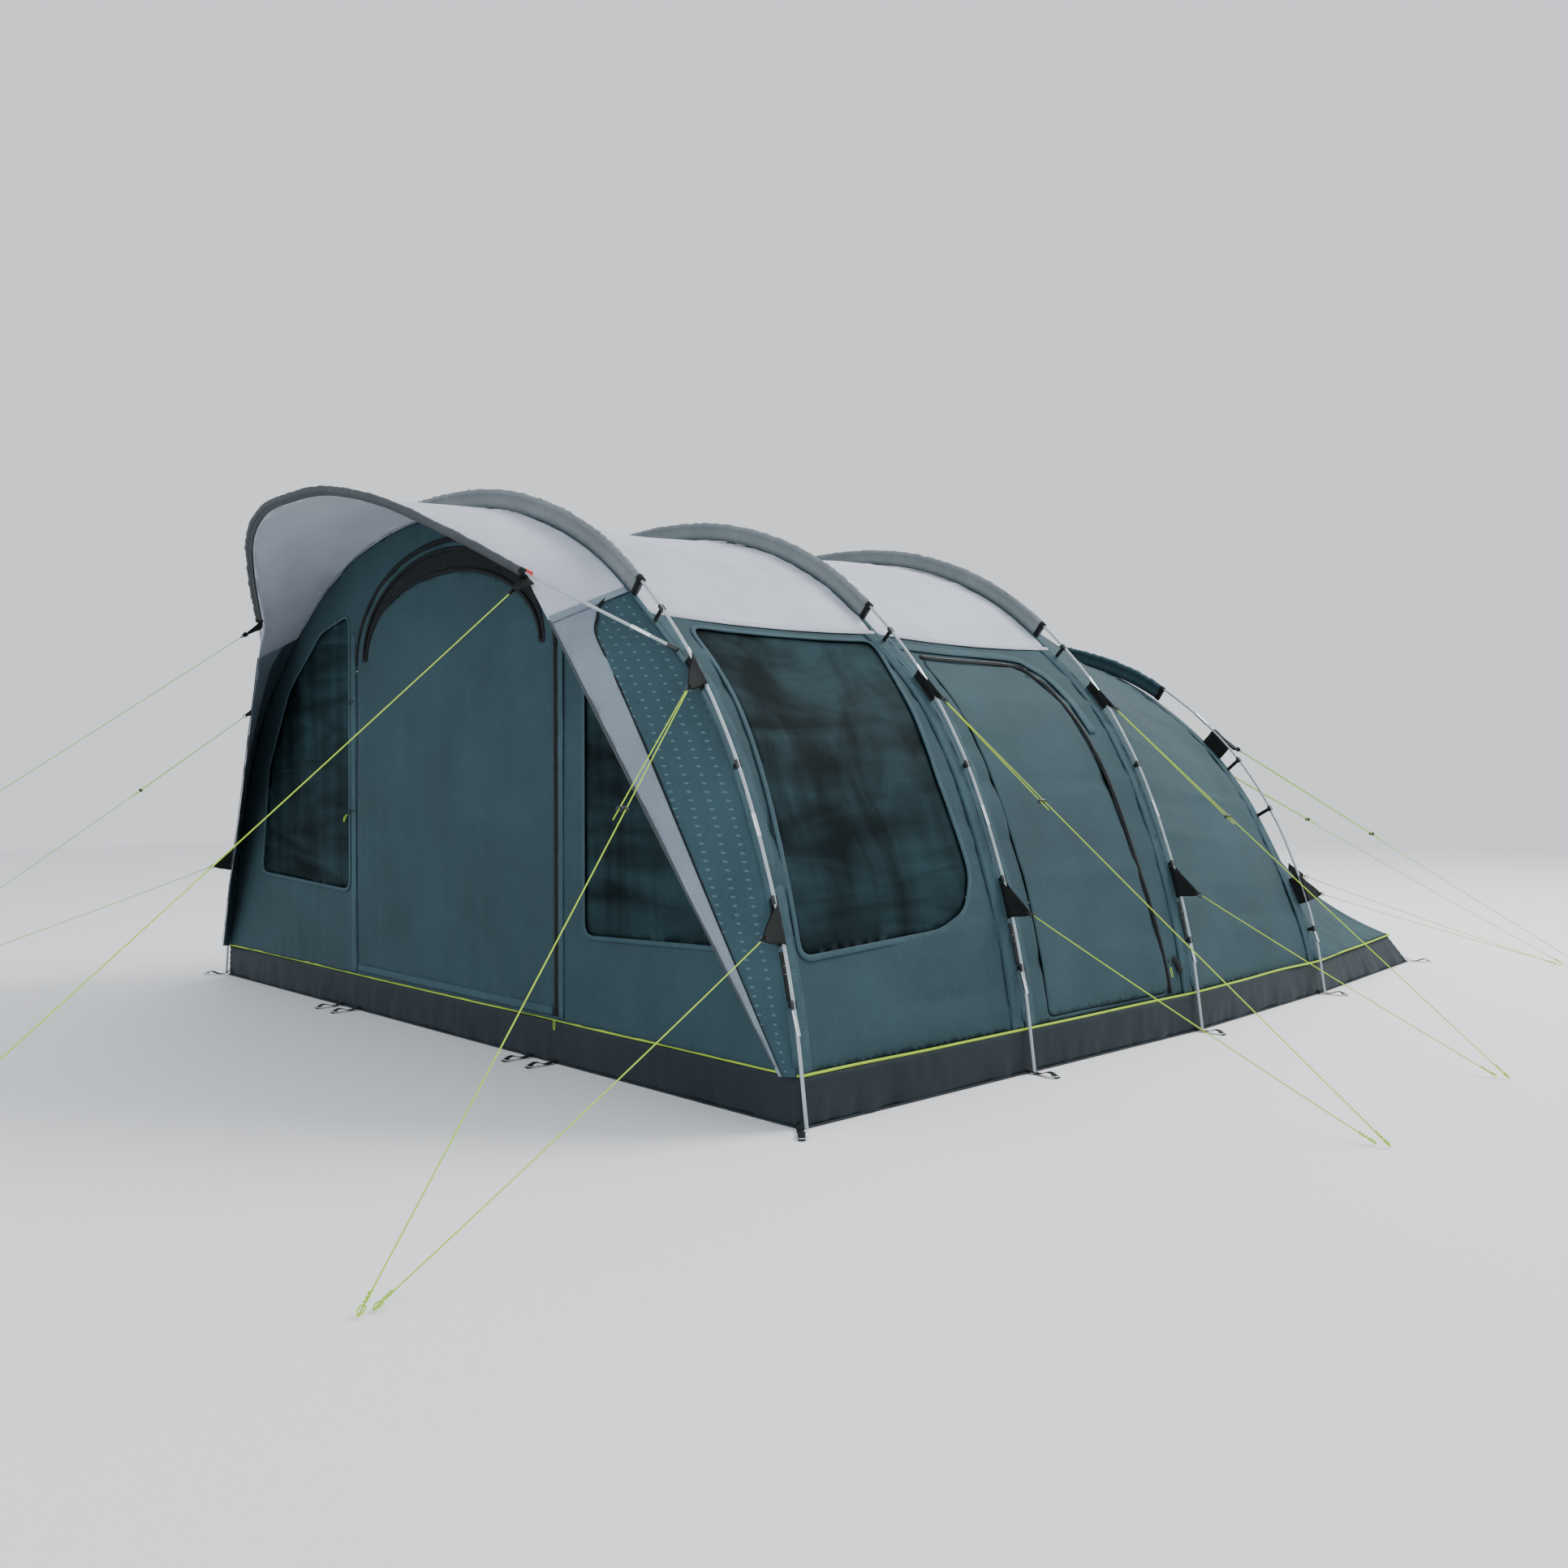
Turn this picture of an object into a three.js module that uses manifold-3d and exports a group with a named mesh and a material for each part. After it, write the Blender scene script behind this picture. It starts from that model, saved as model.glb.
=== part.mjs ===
import * as THREE from "three";
import { mergeVertices } from "three/addons/utils/BufferGeometryUtils.js";
import Module from "manifold-3d";

// A family tunnel tent on five bent poles: three full hoops, a lower tail hoop and a porch hoop that
// leans forward. The front faces -Y, the width runs along X, +Z is up, and lengths are millimetres.
// Distances along the tent (Y) are counted from the front hoop until the last group shifts them.

const wasm = await Module();
wasm.setup();

// Hoops: the full ones share one shape, the tail hoop is narrower and lower.
const fullHalfWidth = 2090;
const fullHeight = 2100;
const tailHalfWidth = 2010;
const tailHeight = 1725;
const middleHoopY = 1090;
const rearHoopY = 2190;
const tailHoopY = 3412;
const archProfile = [
  [1, 0],
  [0.974, 0.167],
  [0.927, 0.336],
  [0.842, 0.533],
  [0.714, 0.71],
  [0.509, 0.878],
  [0.262, 0.974],
  [0, 1],
];

// The porch hoop springs from the sides of the front hoop and leans forward.
const porchHalfWidth = 1529;
const porchFootZ = 1421;
const porchRise = 840; // measured in the plane of the hoop
const porchLean = THREE.MathUtils.degToRad(42.7);
const porchFootGap = 24; // keeps the two poles side by side where they meet
const porchProfile = [
  [1, 0],
  [0.697, 0.412],
  [0.514, 0.68],
  [0.349, 0.875],
  [0.175, 0.98],
  [0, 1],
];

// Poles
const poleRadius = 5.5;
const poleFootZ = 6;
const poleSteps = 30;

// Flysheet: how far its skin hangs inside the poles, and how it sags between them
const skin = 4;
const legInset = 24;
const roofInset = 62;
const tailLegInset = 30;
const tailBayInset = 78;
const roofSag = 30;
const wallSag = 14;
const panelGap = 2;
const skirtHeight = 150;
const flyFootZ = skirtHeight + panelGap + skin;

// Ground plan behind the tail hoop
const cornerX = 1820;
const cornerY = 4772;
const backY = 4800;
const tailHollow = 150; // how far the tail cloth is pulled in between the hoop and the ground
const tailFootRun = 120; // how far the sloping skirt steps in over its height

// Where each cloth ends along an arch: 0 at the foot, 1 at the top
const sleeveFrom = 0.585;
const tailSleeveFrom = 0.6;
const porchSleeveFrom = 0.335;
const sleeveDepth = 50;
const porchSleeveDepth = 16;
const sleeveSteps = 14;
const roofHemZ = 1600; // where the pale roof meets the walls
const porchEdgeAt = 0.62;
const wingTopAt = 0.56;
const wingShare = 0.74; // the wing panel's share of the way from the hoop to the porch edge

// Guy points, as heights on the hoops
const upperPatchZ = 1355;
const lowerPatchZ = 590;
const tailUpperPatchZ = 1180;
const tailLowerPatchZ = 480;
const patchReach = 105;
const wrapRadius = 16; // of the webbing folded round the pole
const patchHeight = 126;
const tipHalf = 10; // half the width of a patch at its tip
const backPatchReach = 90;
const porchPatchReach = 95;
const tipGap = 14; // from the tip of a patch to the start of its line
const lineSag = 6;
const pairGap = 40; // how much sooner the lower line of a pair ends
const cordRadius = 1.75;
const cordSteps = 3;
const cordEndZ = 6;
const runnerSpread = 22; // between the two strands in a runner
const runnerLength = 12;

const colours = {
  fly: 0x3a525a,
  roof: 0xd8dce5,
  sleeve: 0x8f9b9f,
  porchSleeve: 0x55595c,
  skirt: 0x28343a,
  window: 0x222d30,
  pole: 0xb8c4c8,
  guyline: 0xbcdc4c,
  fitting: 0x1c2224,
  inner: 0xb9b6ac,
};

const hoops = {
  front: { y: 0, halfWidth: fullHalfWidth, height: fullHeight, inset: fullInset },
  middle: { y: middleHoopY, halfWidth: fullHalfWidth, height: fullHeight, inset: fullInset },
  rear: { y: rearHoopY, halfWidth: fullHalfWidth, height: fullHeight, inset: fullInset },
  tail: { y: tailHoopY, halfWidth: tailHalfWidth, height: tailHeight, inset: tailInset },
};
for (const hoop of Object.values(hoops)) hoop.curve = archCurve(archProfile, hoop.halfWidth, hoop.height);
const porchCurve = archCurve(porchProfile, porchHalfWidth, porchRise);

// ---------- curves and surfaces

// A whole arch in the XZ plane, from its foot at +X over the top to its foot at -X.
function archCurve(profile, halfWidth, height) {
  const right = profile.map(([x, z]) => new THREE.Vector3(x * halfWidth, 0, z * height));
  const left = right
    .slice(0, -1)
    .reverse()
    .map((p) => new THREE.Vector3(-p.x, 0, p.z));
  return new THREE.CatmullRomCurve3([...right, ...left], false, "centripetal");
}

function smooth(from, to, value) {
  return THREE.MathUtils.smoothstep(value, from, to);
}

// Height up an arch, from 0 at either foot to 1 at the top
function rise(u) {
  return 2 * Math.min(u, 1 - u);
}

function fullInset(w) {
  return legInset + (roofInset - legInset) * smooth(0.38, 0.56, w);
}

function tailInset(w) {
  const leg = tailLegInset + (tailBayInset - tailLegInset) * smooth(0.05, 0.3, w);
  return leg - (tailBayInset - roofInset) * smooth(0.55, 0.75, w);
}

// A point of an arch in the XZ plane, moved towards its inside
function insetPoint(curve, u, inset) {
  const p = curve.getPointAt(u);
  const t = curve.getTangentAt(u);
  return new THREE.Vector3(p.x - t.z * inset, 0, p.z + t.x * inset);
}

// The point of the flysheet under a hoop
function flyPoint(hoop, u) {
  const p = insetPoint(hoop.curve, u, hoop.inset(rise(u)));
  p.y = hoop.y;
  return p;
}

// The fraction of the whole arch, from the +X foot, where the pole passes a height
function fractionAtHeight(curve, z) {
  let low = 0;
  let high = 0.5;
  for (let i = 0; i < 30; i++) {
    const middle = (low + high) / 2;
    if (curve.getPointAt(middle).z < z) low = middle;
    else high = middle;
  }
  return low;
}

// The cloth between two hoops, sagging inwards halfway
function bay(first, second) {
  return (u, v) => {
    const a = flyPoint(first, u);
    const b = flyPoint(second, u);
    a.y += panelGap / 2;
    b.y -= panelGap / 2;
    const p = a.clone().lerp(b, v);
    const sag = wallSag + (roofSag - wallSag) * smooth(0.4, 0.8, rise(u));
    const t = first.curve.getTangentAt(u);
    const depth = 4 * v * (1 - v) * sag;
    p.x -= t.z * depth;
    p.z += t.x * depth;
    return p;
  };
}

// Part of a surface, in its own 0 to 1 coordinates
function partOf(surface, uFrom, uTo, vFrom = 0, vTo = 1) {
  return (u, v) => surface(uFrom + (uTo - uFrom) * u, vFrom + (vTo - vFrom) * v);
}

// The foot of the cloth along a hoop's arch: the fraction where it reaches the top of the skirt
function footFraction(hoop) {
  return fractionAtHeight(hoop.curve, flyFootZ);
}

// A point of the porch hoop's own plane, turned to lean forward and lifted onto the front hoop
function leanForward(p) {
  const z = porchFootZ + p.z * Math.cos(porchLean);
  const y = -porchFootGap - p.z * Math.sin(porchLean);
  return new THREE.Vector3(p.x, y, z);
}

// The front edge of the porch: up the wing from the foot, then over under the porch hoop
function porchEdge(u) {
  const w = rise(u);
  const side = u < 0.5 ? 1 : -1;
  const sleeveEnd = leanForward(insetPoint(porchCurve, porchSleeveFrom / 2, legInset));
  if (w < porchEdgeAt) {
    const foot = new THREE.Vector3(fullHalfWidth - 70, -46, flyFootZ);
    const p = foot.lerp(sleeveEnd, w / porchEdgeAt);
    p.x *= side;
    return p;
  }
  const along = (w - porchEdgeAt) / (1 - porchEdgeAt);
  const share = porchSleeveFrom + (1 - porchSleeveFrom) * along;
  const p = leanForward(insetPoint(porchCurve, share / 2, legInset));
  p.x *= side;
  return p;
}

// The porch cloth from the front hoop (v = 0) to its front edge (v = 1)
function porch(u, v) {
  const foot = footFraction(hoops.front);
  const a = flyPoint(hoops.front, foot + (1 - 2 * foot) * u);
  a.y -= panelGap / 2;
  return a.lerp(porchEdge(u), v);
}

// The foot line behind the tail hoop, from the +X side round the corner to the -X side
function backLine(u, inset, z) {
  const w = rise(u);
  const side = u < 0.5 ? 1 : -1;
  const cornerAt = 0.42;
  const start = new THREE.Vector3(tailHalfWidth - tailLegInset, tailHoopY + 40, z);
  const corner = new THREE.Vector3(cornerX - inset / 2, cornerY - inset, z);
  const centre = new THREE.Vector3(0, backY - inset, z);
  const beyond = (w - cornerAt) / (1 - cornerAt);
  const p = w < cornerAt ? start.lerp(corner, w / cornerAt) : corner.lerp(centre, beyond);
  p.x *= side;
  return p;
}

// The sloping tail, from the tail hoop (v = 0) to the foot line (v = 1)
function tail(u, v) {
  const foot = footFraction(hoops.tail);
  const a = flyPoint(hoops.tail, foot + (1 - 2 * foot) * u);
  a.y += panelGap / 2;
  const b = backLine(u, tailFootRun, flyFootZ);
  const p = a.lerp(b, v);
  const nearTop = smooth(0.6, 1, rise(u));
  const hollow = 4 * v * (1 - v) * tailHollow * smooth(0, 0.4, rise(u)) * (1 - 0.4 * nearTop);
  p.x -= Math.sign(0.5 - u) * hollow * 0.5 * (1 - nearTop);
  p.y -= hollow * 0.6;
  p.z -= hollow * 0.5;
  return p;
}

// ---------- solids

function solid(geometry) {
  const bare = geometry.clone();
  bare.deleteAttribute("normal");
  bare.deleteAttribute("uv");
  const merged = mergeVertices(bare, 1e-3);
  const made = new wasm.Manifold(
    new wasm.Mesh({
      numProp: 3,
      vertProperties: new Float32Array(merged.attributes.position.array),
      triVerts: new Uint32Array(merged.index.array),
    }),
  );
  return made;
}

function geometryOf(made) {
  const mesh = made.getMesh();
  const geometry = new THREE.BufferGeometry();
  geometry.setAttribute("position", new THREE.BufferAttribute(mesh.vertProperties, 3));
  geometry.setIndex(new THREE.BufferAttribute(mesh.triVerts, 1));
  return geometry;
}

function joined(pieces) {
  return pieces.slice(1).reduce((all, piece) => all.add(piece), pieces[0]);
}

function normalAt(surface, u, v) {
  const step = 1e-3;
  const u0 = Math.max(u - step, 0);
  const u1 = Math.min(u + step, 1);
  const v0 = Math.max(v - step, 0);
  const v1 = Math.min(v + step, 1);
  const along = surface(u1, v).sub(surface(u0, v));
  const across = surface(u, v1).sub(surface(u, v0));
  return along.cross(across).normalize();
}

// A closed skin of even thickness on both sides of a surface; a ring joins its last column to its first
function sheet(surface, columns, rows, thickness = skin, ring = false) {
  const across = ring ? columns : columns + 1;
  const positions = [];
  for (const side of [0.5, -0.5])
    for (let i = 0; i < across; i++)
      for (let j = 0; j <= rows; j++) {
        const u = i / columns;
        const v = j / rows;
        const p = surface(u, v).addScaledVector(normalAt(surface, u, v), side * thickness);
        positions.push(p.x, p.y, p.z);
      }
  const layer = across * (rows + 1);
  const at = (side, i, j) => side * layer + (i % across) * (rows + 1) + j;
  const index = [];
  const quad = (a, b, c, d) => index.push(a, b, c, a, c, d);
  for (let i = 0; i < columns; i++)
    for (let j = 0; j < rows; j++) {
      quad(at(0, i, j), at(0, i + 1, j), at(0, i + 1, j + 1), at(0, i, j + 1));
      quad(at(1, i, j), at(1, i, j + 1), at(1, i + 1, j + 1), at(1, i + 1, j));
    }
  for (let i = 0; i < columns; i++) {
    quad(at(0, i, 0), at(1, i, 0), at(1, i + 1, 0), at(0, i + 1, 0));
    quad(at(0, i, rows), at(0, i + 1, rows), at(1, i + 1, rows), at(1, i, rows));
  }
  for (let j = 0; j < rows && !ring; j++) {
    quad(at(0, 0, j), at(0, 0, j + 1), at(1, 0, j + 1), at(1, 0, j));
    quad(at(0, columns, j), at(1, columns, j), at(1, columns, j + 1), at(0, columns, j + 1));
  }
  const geometry = new THREE.BufferGeometry();
  geometry.setAttribute("position", new THREE.Float32BufferAttribute(positions, 3));
  geometry.setIndex(index);
  return solid(geometry);
}

function circle(radius, sides) {
  const shape = new THREE.Shape();
  for (let i = 0; i < sides; i++) {
    const angle = (i / sides) * 2 * Math.PI;
    shape.lineTo(radius * Math.cos(angle), radius * Math.sin(angle));
  }
  return shape;
}

function tube(path, radius, steps, sides = 8) {
  return new THREE.ExtrudeGeometry(circle(radius, sides), { extrudePath: path, steps, bevelEnabled: false });
}

// Part of a curve, as a curve
class CurvePart extends THREE.Curve {
  constructor(curve, from, to) {
    super();
    this.whole = curve;
    this.from = from;
    this.to = to;
  }
  getPoint(t, target = new THREE.Vector3()) {
    return target.copy(this.whole.getPointAt(this.from + (this.to - this.from) * t));
  }
}

// A flat outline in the XZ plane, extruded along Y between two stations
function slabXZ(points, yFrom, yTo) {
  const shape = new THREE.Shape(points.map(([x, z]) => new THREE.Vector2(x, z)));
  const geometry = new THREE.ExtrudeGeometry(shape, { depth: yTo - yFrom, bevelEnabled: false });
  geometry.rotateX(Math.PI / 2);
  geometry.translate(0, yTo, 0);
  return solid(geometry);
}

// A flat outline in the YZ plane, extruded along X between two stations
function slabYZ(points, xFrom, xTo) {
  const shape = new THREE.Shape(points.map(([y, z]) => new THREE.Vector2(y, z)));
  const geometry = new THREE.ExtrudeGeometry(shape, { depth: xTo - xFrom, bevelEnabled: false });
  geometry.rotateY(Math.PI / 2);
  geometry.rotateX(Math.PI / 2);
  geometry.translate(xFrom, 0, 0);
  return solid(geometry);
}

function block(xSize, ySize, zSize, centre) {
  const geometry = new THREE.BoxGeometry(xSize, ySize, zSize);
  geometry.translate(centre.x, centre.y, centre.z);
  return solid(geometry);
}

// ---------- poles and sleeves

// A bent pole in the XZ plane, from a height on one leg to the same height on the other
function poleSolid(curve, fromHeight) {
  const start = fromHeight > 0 ? fractionAtHeight(curve, fromHeight) : 0;
  return solid(tube(new CurvePart(curve, start, 1 - start), poleRadius, poleSteps));
}

// The sleeve is a folded channel over the pole, open towards the roof
function sleeveSolid(curve, from, depth) {
  const outer = 15;
  const inner = 12;
  const half = 13;
  const wall = 2.5;
  const section = new THREE.Shape();
  section.moveTo(-half, -depth);
  section.lineTo(-half + wall, -depth);
  section.lineTo(-half + wall, inner);
  section.lineTo(half - wall, inner);
  section.lineTo(half - wall, -depth);
  section.lineTo(half, -depth);
  section.lineTo(half, outer);
  section.lineTo(-half, outer);
  section.closePath();
  const path = new CurvePart(curve, from / 2, 1 - from / 2);
  const options = { extrudePath: path, steps: sleeveSteps, bevelEnabled: false };
  return solid(new THREE.ExtrudeGeometry(section, options));
}

// Moves a porch piece from its own plane onto the front hoop
function leanSolid(made) {
  const geometry = geometryOf(made);
  geometry.rotateX(porchLean);
  geometry.translate(0, -porchFootGap, porchFootZ);
  return solid(geometry);
}

function moved(made, y) {
  return made.translate([0, y, 0]);
}

// ---------- guy patches and guylines

// Where a guy patch sits on a hoop, and which way its line pulls
function guyPoint(hoop, z, side, anchor) {
  const u = fractionAtHeight(hoop.curve, z);
  const p = hoop.curve.getPointAt(u);
  const t = hoop.curve.getTangentAt(u);
  const pole = new THREE.Vector3(side * p.x, hoop.y, p.z);
  const tangent = new THREE.Vector3(side * t.x, 0, t.z);
  const pull = new THREE.Vector3(...anchor).sub(pole).normalize();
  const tip = pole.clone().addScaledVector(pull, patchReach);
  const inwards = new THREE.Vector3(-side * t.z, 0, t.x);
  return { pole, tangent, pull, tip, inwards, toCloth: hoop.inset(rise(u)) + skin };
}

// A thin triangle of webbing from the cloth past a pole to its tip, wrapped round the pole
function patchSolid(point, height = patchHeight) {
  const { pole, tangent, tip, inwards, toCloth } = point;
  const plate = 4;
  const beside = new THREE.Vector3(0, panelGap / 2 + plate / 2, 0);
  const root = pole.clone().addScaledVector(inwards, toCloth).add(beside);
  const seam = pole.clone().add(beside);
  const edge = (p, reach) => p.clone().addScaledVector(tangent, reach);
  const up = height / 2;
  const inner = prism([edge(root, up), edge(root, -up), edge(seam, -up), edge(seam, up)], plate);
  const outer = prism([edge(pole, -up), edge(tip, -tipHalf), edge(tip, tipHalf), edge(pole, up)], plate);
  const wrap = rod(pole, tangent, height, wrapRadius);
  const hole = rod(pole, tangent, height + 40, wrapRadius - skin);
  return joined([inner, outer, wrap]).subtract(hole);
}

// A flat four-sided plate of even thickness
function prism(corners, thickness) {
  const normal = corners[1].clone().sub(corners[0]).cross(corners[3].clone().sub(corners[0])).normalize();
  const positions = [];
  for (const side of [0.5, -0.5])
    for (const corner of corners) {
      const p = corner.clone().addScaledVector(normal, side * thickness);
      positions.push(p.x, p.y, p.z);
    }
  const index = [0, 1, 2, 0, 2, 3, 4, 6, 5, 4, 7, 6];
  for (let i = 0; i < 4; i++) {
    const next = (i + 1) % 4;
    index.push(i, i + 4, next + 4, i, next + 4, next);
  }
  const geometry = new THREE.BufferGeometry();
  geometry.setAttribute("position", new THREE.Float32BufferAttribute(positions, 3));
  geometry.setIndex(index);
  return solid(geometry);
}

// A round bar centred on a point
function rod(centre, direction, length, radius, sides = 6) {
  const geometry = new THREE.CylinderGeometry(radius, radius, length, sides);
  const upright = new THREE.Vector3(0, 1, 0);
  const turn = new THREE.Quaternion().setFromUnitVectors(upright, direction.clone().normalize());
  geometry.applyQuaternion(turn);
  geometry.translate(centre.x, centre.y, centre.z);
  return solid(geometry);
}

// A taut line hangs a little below the straight line between its ends
function linePath(start, end, sag) {
  const middle = start.clone().lerp(end, 0.5);
  middle.z -= 2 * sag;
  return new THREE.QuadraticBezierCurve3(start, middle, end);
}

// How far the second strand stands to the side of the first where they meet the runner
function sideways(start, end) {
  return end.clone().sub(start).setZ(0).normalize().cross(new THREE.Vector3(0, 0, 1));
}

function cordSolid(line) {
  const path = linePath(line.start, line.end, line.sag);
  const main = solid(tube(path, cordRadius, cordSteps));
  if (!line.runnerAt) return main;
  const along = path.getPointAt(line.runnerAt + 0.02);
  const second = along.addScaledVector(sideways(line.start, line.end), runnerSpread);
  const strand = solid(tube(new THREE.LineCurve3(line.start, second), cordRadius, 1));
  return main.add(strand);
}

// A runner is a small oval ring that both strands pass through
function runnerSolid(line) {
  const path = linePath(line.start, line.end, line.sag);
  const half = runnerSpread / 2;
  const ring = slot(half, 9);
  ring.holes.push(slot(half, 4.5));
  const options = { depth: runnerLength, bevelEnabled: false, curveSegments: 3 };
  const geometry = new THREE.ExtrudeGeometry(ring, options);
  geometry.translate(half, 0, -runnerLength / 2);
  const along = path.getTangentAt(line.runnerAt);
  const across = sideways(line.start, line.end);
  const up = along.clone().cross(across).normalize();
  const frame = new THREE.Matrix4().makeBasis(across, up, across.clone().cross(up));
  geometry.applyMatrix4(frame);
  const centre = path.getPointAt(line.runnerAt);
  geometry.translate(centre.x, centre.y, centre.z);
  return solid(geometry);
}

function slot(half, radius) {
  const shape = new THREE.Shape();
  shape.moveTo(-half, -radius);
  shape.lineTo(half, -radius);
  shape.absarc(half, 0, radius, -Math.PI / 2, Math.PI / 2, false);
  shape.lineTo(-half, radius);
  shape.absarc(-half, 0, radius, Math.PI / 2, (3 * Math.PI) / 2, false);
  return shape;
}

// ---------- the tent

const tent = new THREE.Group();
const looks = {
  cloth: { roughness: 0.85, metalness: 0 },
  clear: { roughness: 0.3, metalness: 0 },
  metal: { roughness: 0.35, metalness: 0.6 },
};

function add(name, made, colour, look = looks.cloth) {
  const material = new THREE.MeshStandardMaterial({ color: colours[colour], ...look });
  const mesh = new THREE.Mesh(geometryOf(made), material);
  mesh.name = name;
  tent.add(mesh);
  return mesh;
}

const sides = { right: 1, left: -1 };

// Mirrors a range of fractions onto the -X half for the left side
function half(side, from, to) {
  return side > 0 ? [from, to] : [1 - to, 1 - from];
}

// Poles and sleeves
for (const [name, hoop] of Object.entries(hoops)) {
  const from = name === "tail" ? tailSleeveFrom : sleeveFrom;
  const sleeve = sleeveSolid(hoop.curve, from, sleeveDepth);
  add(`pole_${name}`, moved(poleSolid(hoop.curve, poleFootZ), hoop.y), "pole", looks.metal);
  add(`sleeve_${name}`, moved(sleeve, hoop.y), name === "tail" ? "fly" : "sleeve");
}
add("pole_porch", leanSolid(poleSolid(porchCurve, 0)), "pole", looks.metal);
add("sleeve_porch", leanSolid(sleeveSolid(porchCurve, porchSleeveFrom, porchSleeveDepth)), "porchSleeve");

// Where the guylines reach the ground, on the +X side
const pegFront = [2478, -1580, cordEndZ];
const pegMiddle = [3324, 1040, cordEndZ];
const pegRear = [3237, 2172, cordEndZ];
const pegTail = [2620, 5070, cordEndZ];
const pegBack = [2440, 5230, cordEndZ];
const pegPorch = [1700, -2500, cordEndZ];
const pegs = { front: pegFront, middle: pegMiddle, rear: pegRear, tail: pegTail };

function mirrored([x, y, z], side) {
  return [side * x, y, z];
}

// The two guy points on each leg of a hoop
function guyPair(name, side) {
  const hoop = hoops[name];
  const isTail = name === "tail";
  const anchor = mirrored(pegs[name], side);
  return {
    upper: guyPoint(hoop, isTail ? tailUpperPatchZ : upperPatchZ, side, anchor),
    lower: guyPoint(hoop, isTail ? tailLowerPatchZ : lowerPatchZ, side, anchor),
    anchor: new THREE.Vector3(...anchor),
  };
}

function patchesOf(name, side) {
  const pair = guyPair(name, side);
  return [patchSolid(pair.upper), patchSolid(pair.lower)];
}

// Walls and roof of the two front bays; each side has a cut-out for its window or door
const hemAt = fractionAtHeight(hoops.front.curve, roofHemZ);
const footAt = footFraction(hoops.front);
const hemGap = 0.0004;
const frontBay = bay(hoops.front, hoops.middle);
const middleBay = bay(hoops.middle, hoops.rear);
const wallGrid = [8, 3];
const cutDepth = 1500;

function wallSolid(surface, side) {
  return sheet(partOf(surface, ...half(side, footAt, hemAt)), ...wallGrid);
}

function roofSolid(surface) {
  return sheet(partOf(surface, hemAt + hemGap, 1 - hemAt - hemGap), 12, 3);
}

// A cutter through one side wall
function sideCutter(points, side) {
  const far = fullHalfWidth + 200;
  return side > 0 ? slabYZ(points, far - cutDepth, far) : slabYZ(points, -far, cutDepth - far);
}

// Shrinks an outline evenly towards its inside; the points run anticlockwise
function shrunk(points, gap) {
  const count = points.length;
  return points.map(([a, b], i) => {
    const [a0, b0] = points[(i + count - 1) % count];
    const [a1, b1] = points[(i + 1) % count];
    const before = new THREE.Vector2(b0 - b, a - a0).normalize();
    const after = new THREE.Vector2(b - b1, a1 - a).normalize();
    const lean = before.clone().add(after).normalize();
    const reach = gap / Math.max(lean.dot(before), 0.4);
    return [a + lean.x * reach, b + lean.y * reach];
  });
}

const sideWindow = [
  [85, 490],
  [740, 520],
  [880, 570],
  [950, 690],
  [930, 1030],
  [975, 1390],
  [1030, 1560],
  [150, 1560],
  [135, 1270],
  [110, 915],
];
const sideDoor = [
  [1240, 172],
  [2030, 172],
  [2005, 420],
  [1975, 720],
  [1965, 1130],
  [1925, 1370],
  [1830, 1500],
  [1240, 1500],
];
const paneGap = 1.5;
const doorGap = 6;

for (const [name, side] of Object.entries(sides)) {
  const frontWall = wallSolid(frontBay, side);
  const opening = sideCutter(sideWindow, side);
  const pane = frontWall.intersect(sideCutter(shrunk(sideWindow, paneGap), side));
  add(`wall_front_${name}`, joined([frontWall.subtract(opening), ...patchesOf("front", side)]), "fly");
  add(`side_window_${name}`, pane, "window", looks.clear);
  const middleWall = wallSolid(middleBay, side);
  const cut = side > 0 ? middleWall.subtract(sideCutter(sideDoor, side)) : middleWall;
  add(`wall_middle_${name}`, joined([cut, ...patchesOf("middle", side)]), "fly");
}
add("side_door", wallSolid(middleBay, 1).intersect(sideCutter(shrunk(sideDoor, doorGap), 1)), "fly");
add("roof_front", roofSolid(frontBay), "roof");
add("roof_middle", roofSolid(middleBay), "roof");

// The rear bay is one cloth from skirt to skirt, cut at the pale roof that it shares with the bays ahead
const rearBay = bay(hoops.rear, hoops.tail);
const rearCloth = sheet(partOf(rearBay, footAt, 1 - footAt), 20, 3);
const rearPatches = Object.values(sides).flatMap((side) => patchesOf("rear", side));
add("shell_rear_bay", joined([rearCloth, ...rearPatches]), "fly");

// The tail shell carries the tail hoop's patches and two more on its back slope
const backUpper = { u: 0.27, v: 0.12 };
const backLower = { u: 0.205, v: 0.55 };

function backPoint(place, side, anchor) {
  const u = side > 0 ? place.u : 1 - place.u;
  const root = tail(u, place.v);
  const pull = new THREE.Vector3(...mirrored(anchor, side)).sub(root).normalize();
  const tip = root.clone().addScaledVector(pull, backPatchReach);
  return { root, pull, tip };
}

function backPatch(place, side, anchor) {
  const { root, pull, tip } = backPoint(place, side, anchor);
  const up = new THREE.Vector3(0, 0, 1);
  const heel = root.clone().addScaledVector(pull, -6);
  const edge = (p, reach) => p.clone().addScaledVector(up, reach);
  return prism([edge(heel, -40), edge(tip, -tipHalf), edge(tip, tipHalf), edge(heel, 40)], skin);
}

const tailCloth = sheet(tail, 20, 4);
const tailPatches = Object.values(sides).flatMap((side) => [
  ...patchesOf("tail", side),
  backPatch(backUpper, side, pegBack),
  backPatch(backLower, side, pegBack),
]);
add("shell_tail", joined([tailCloth, ...tailPatches]), "fly");

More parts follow.
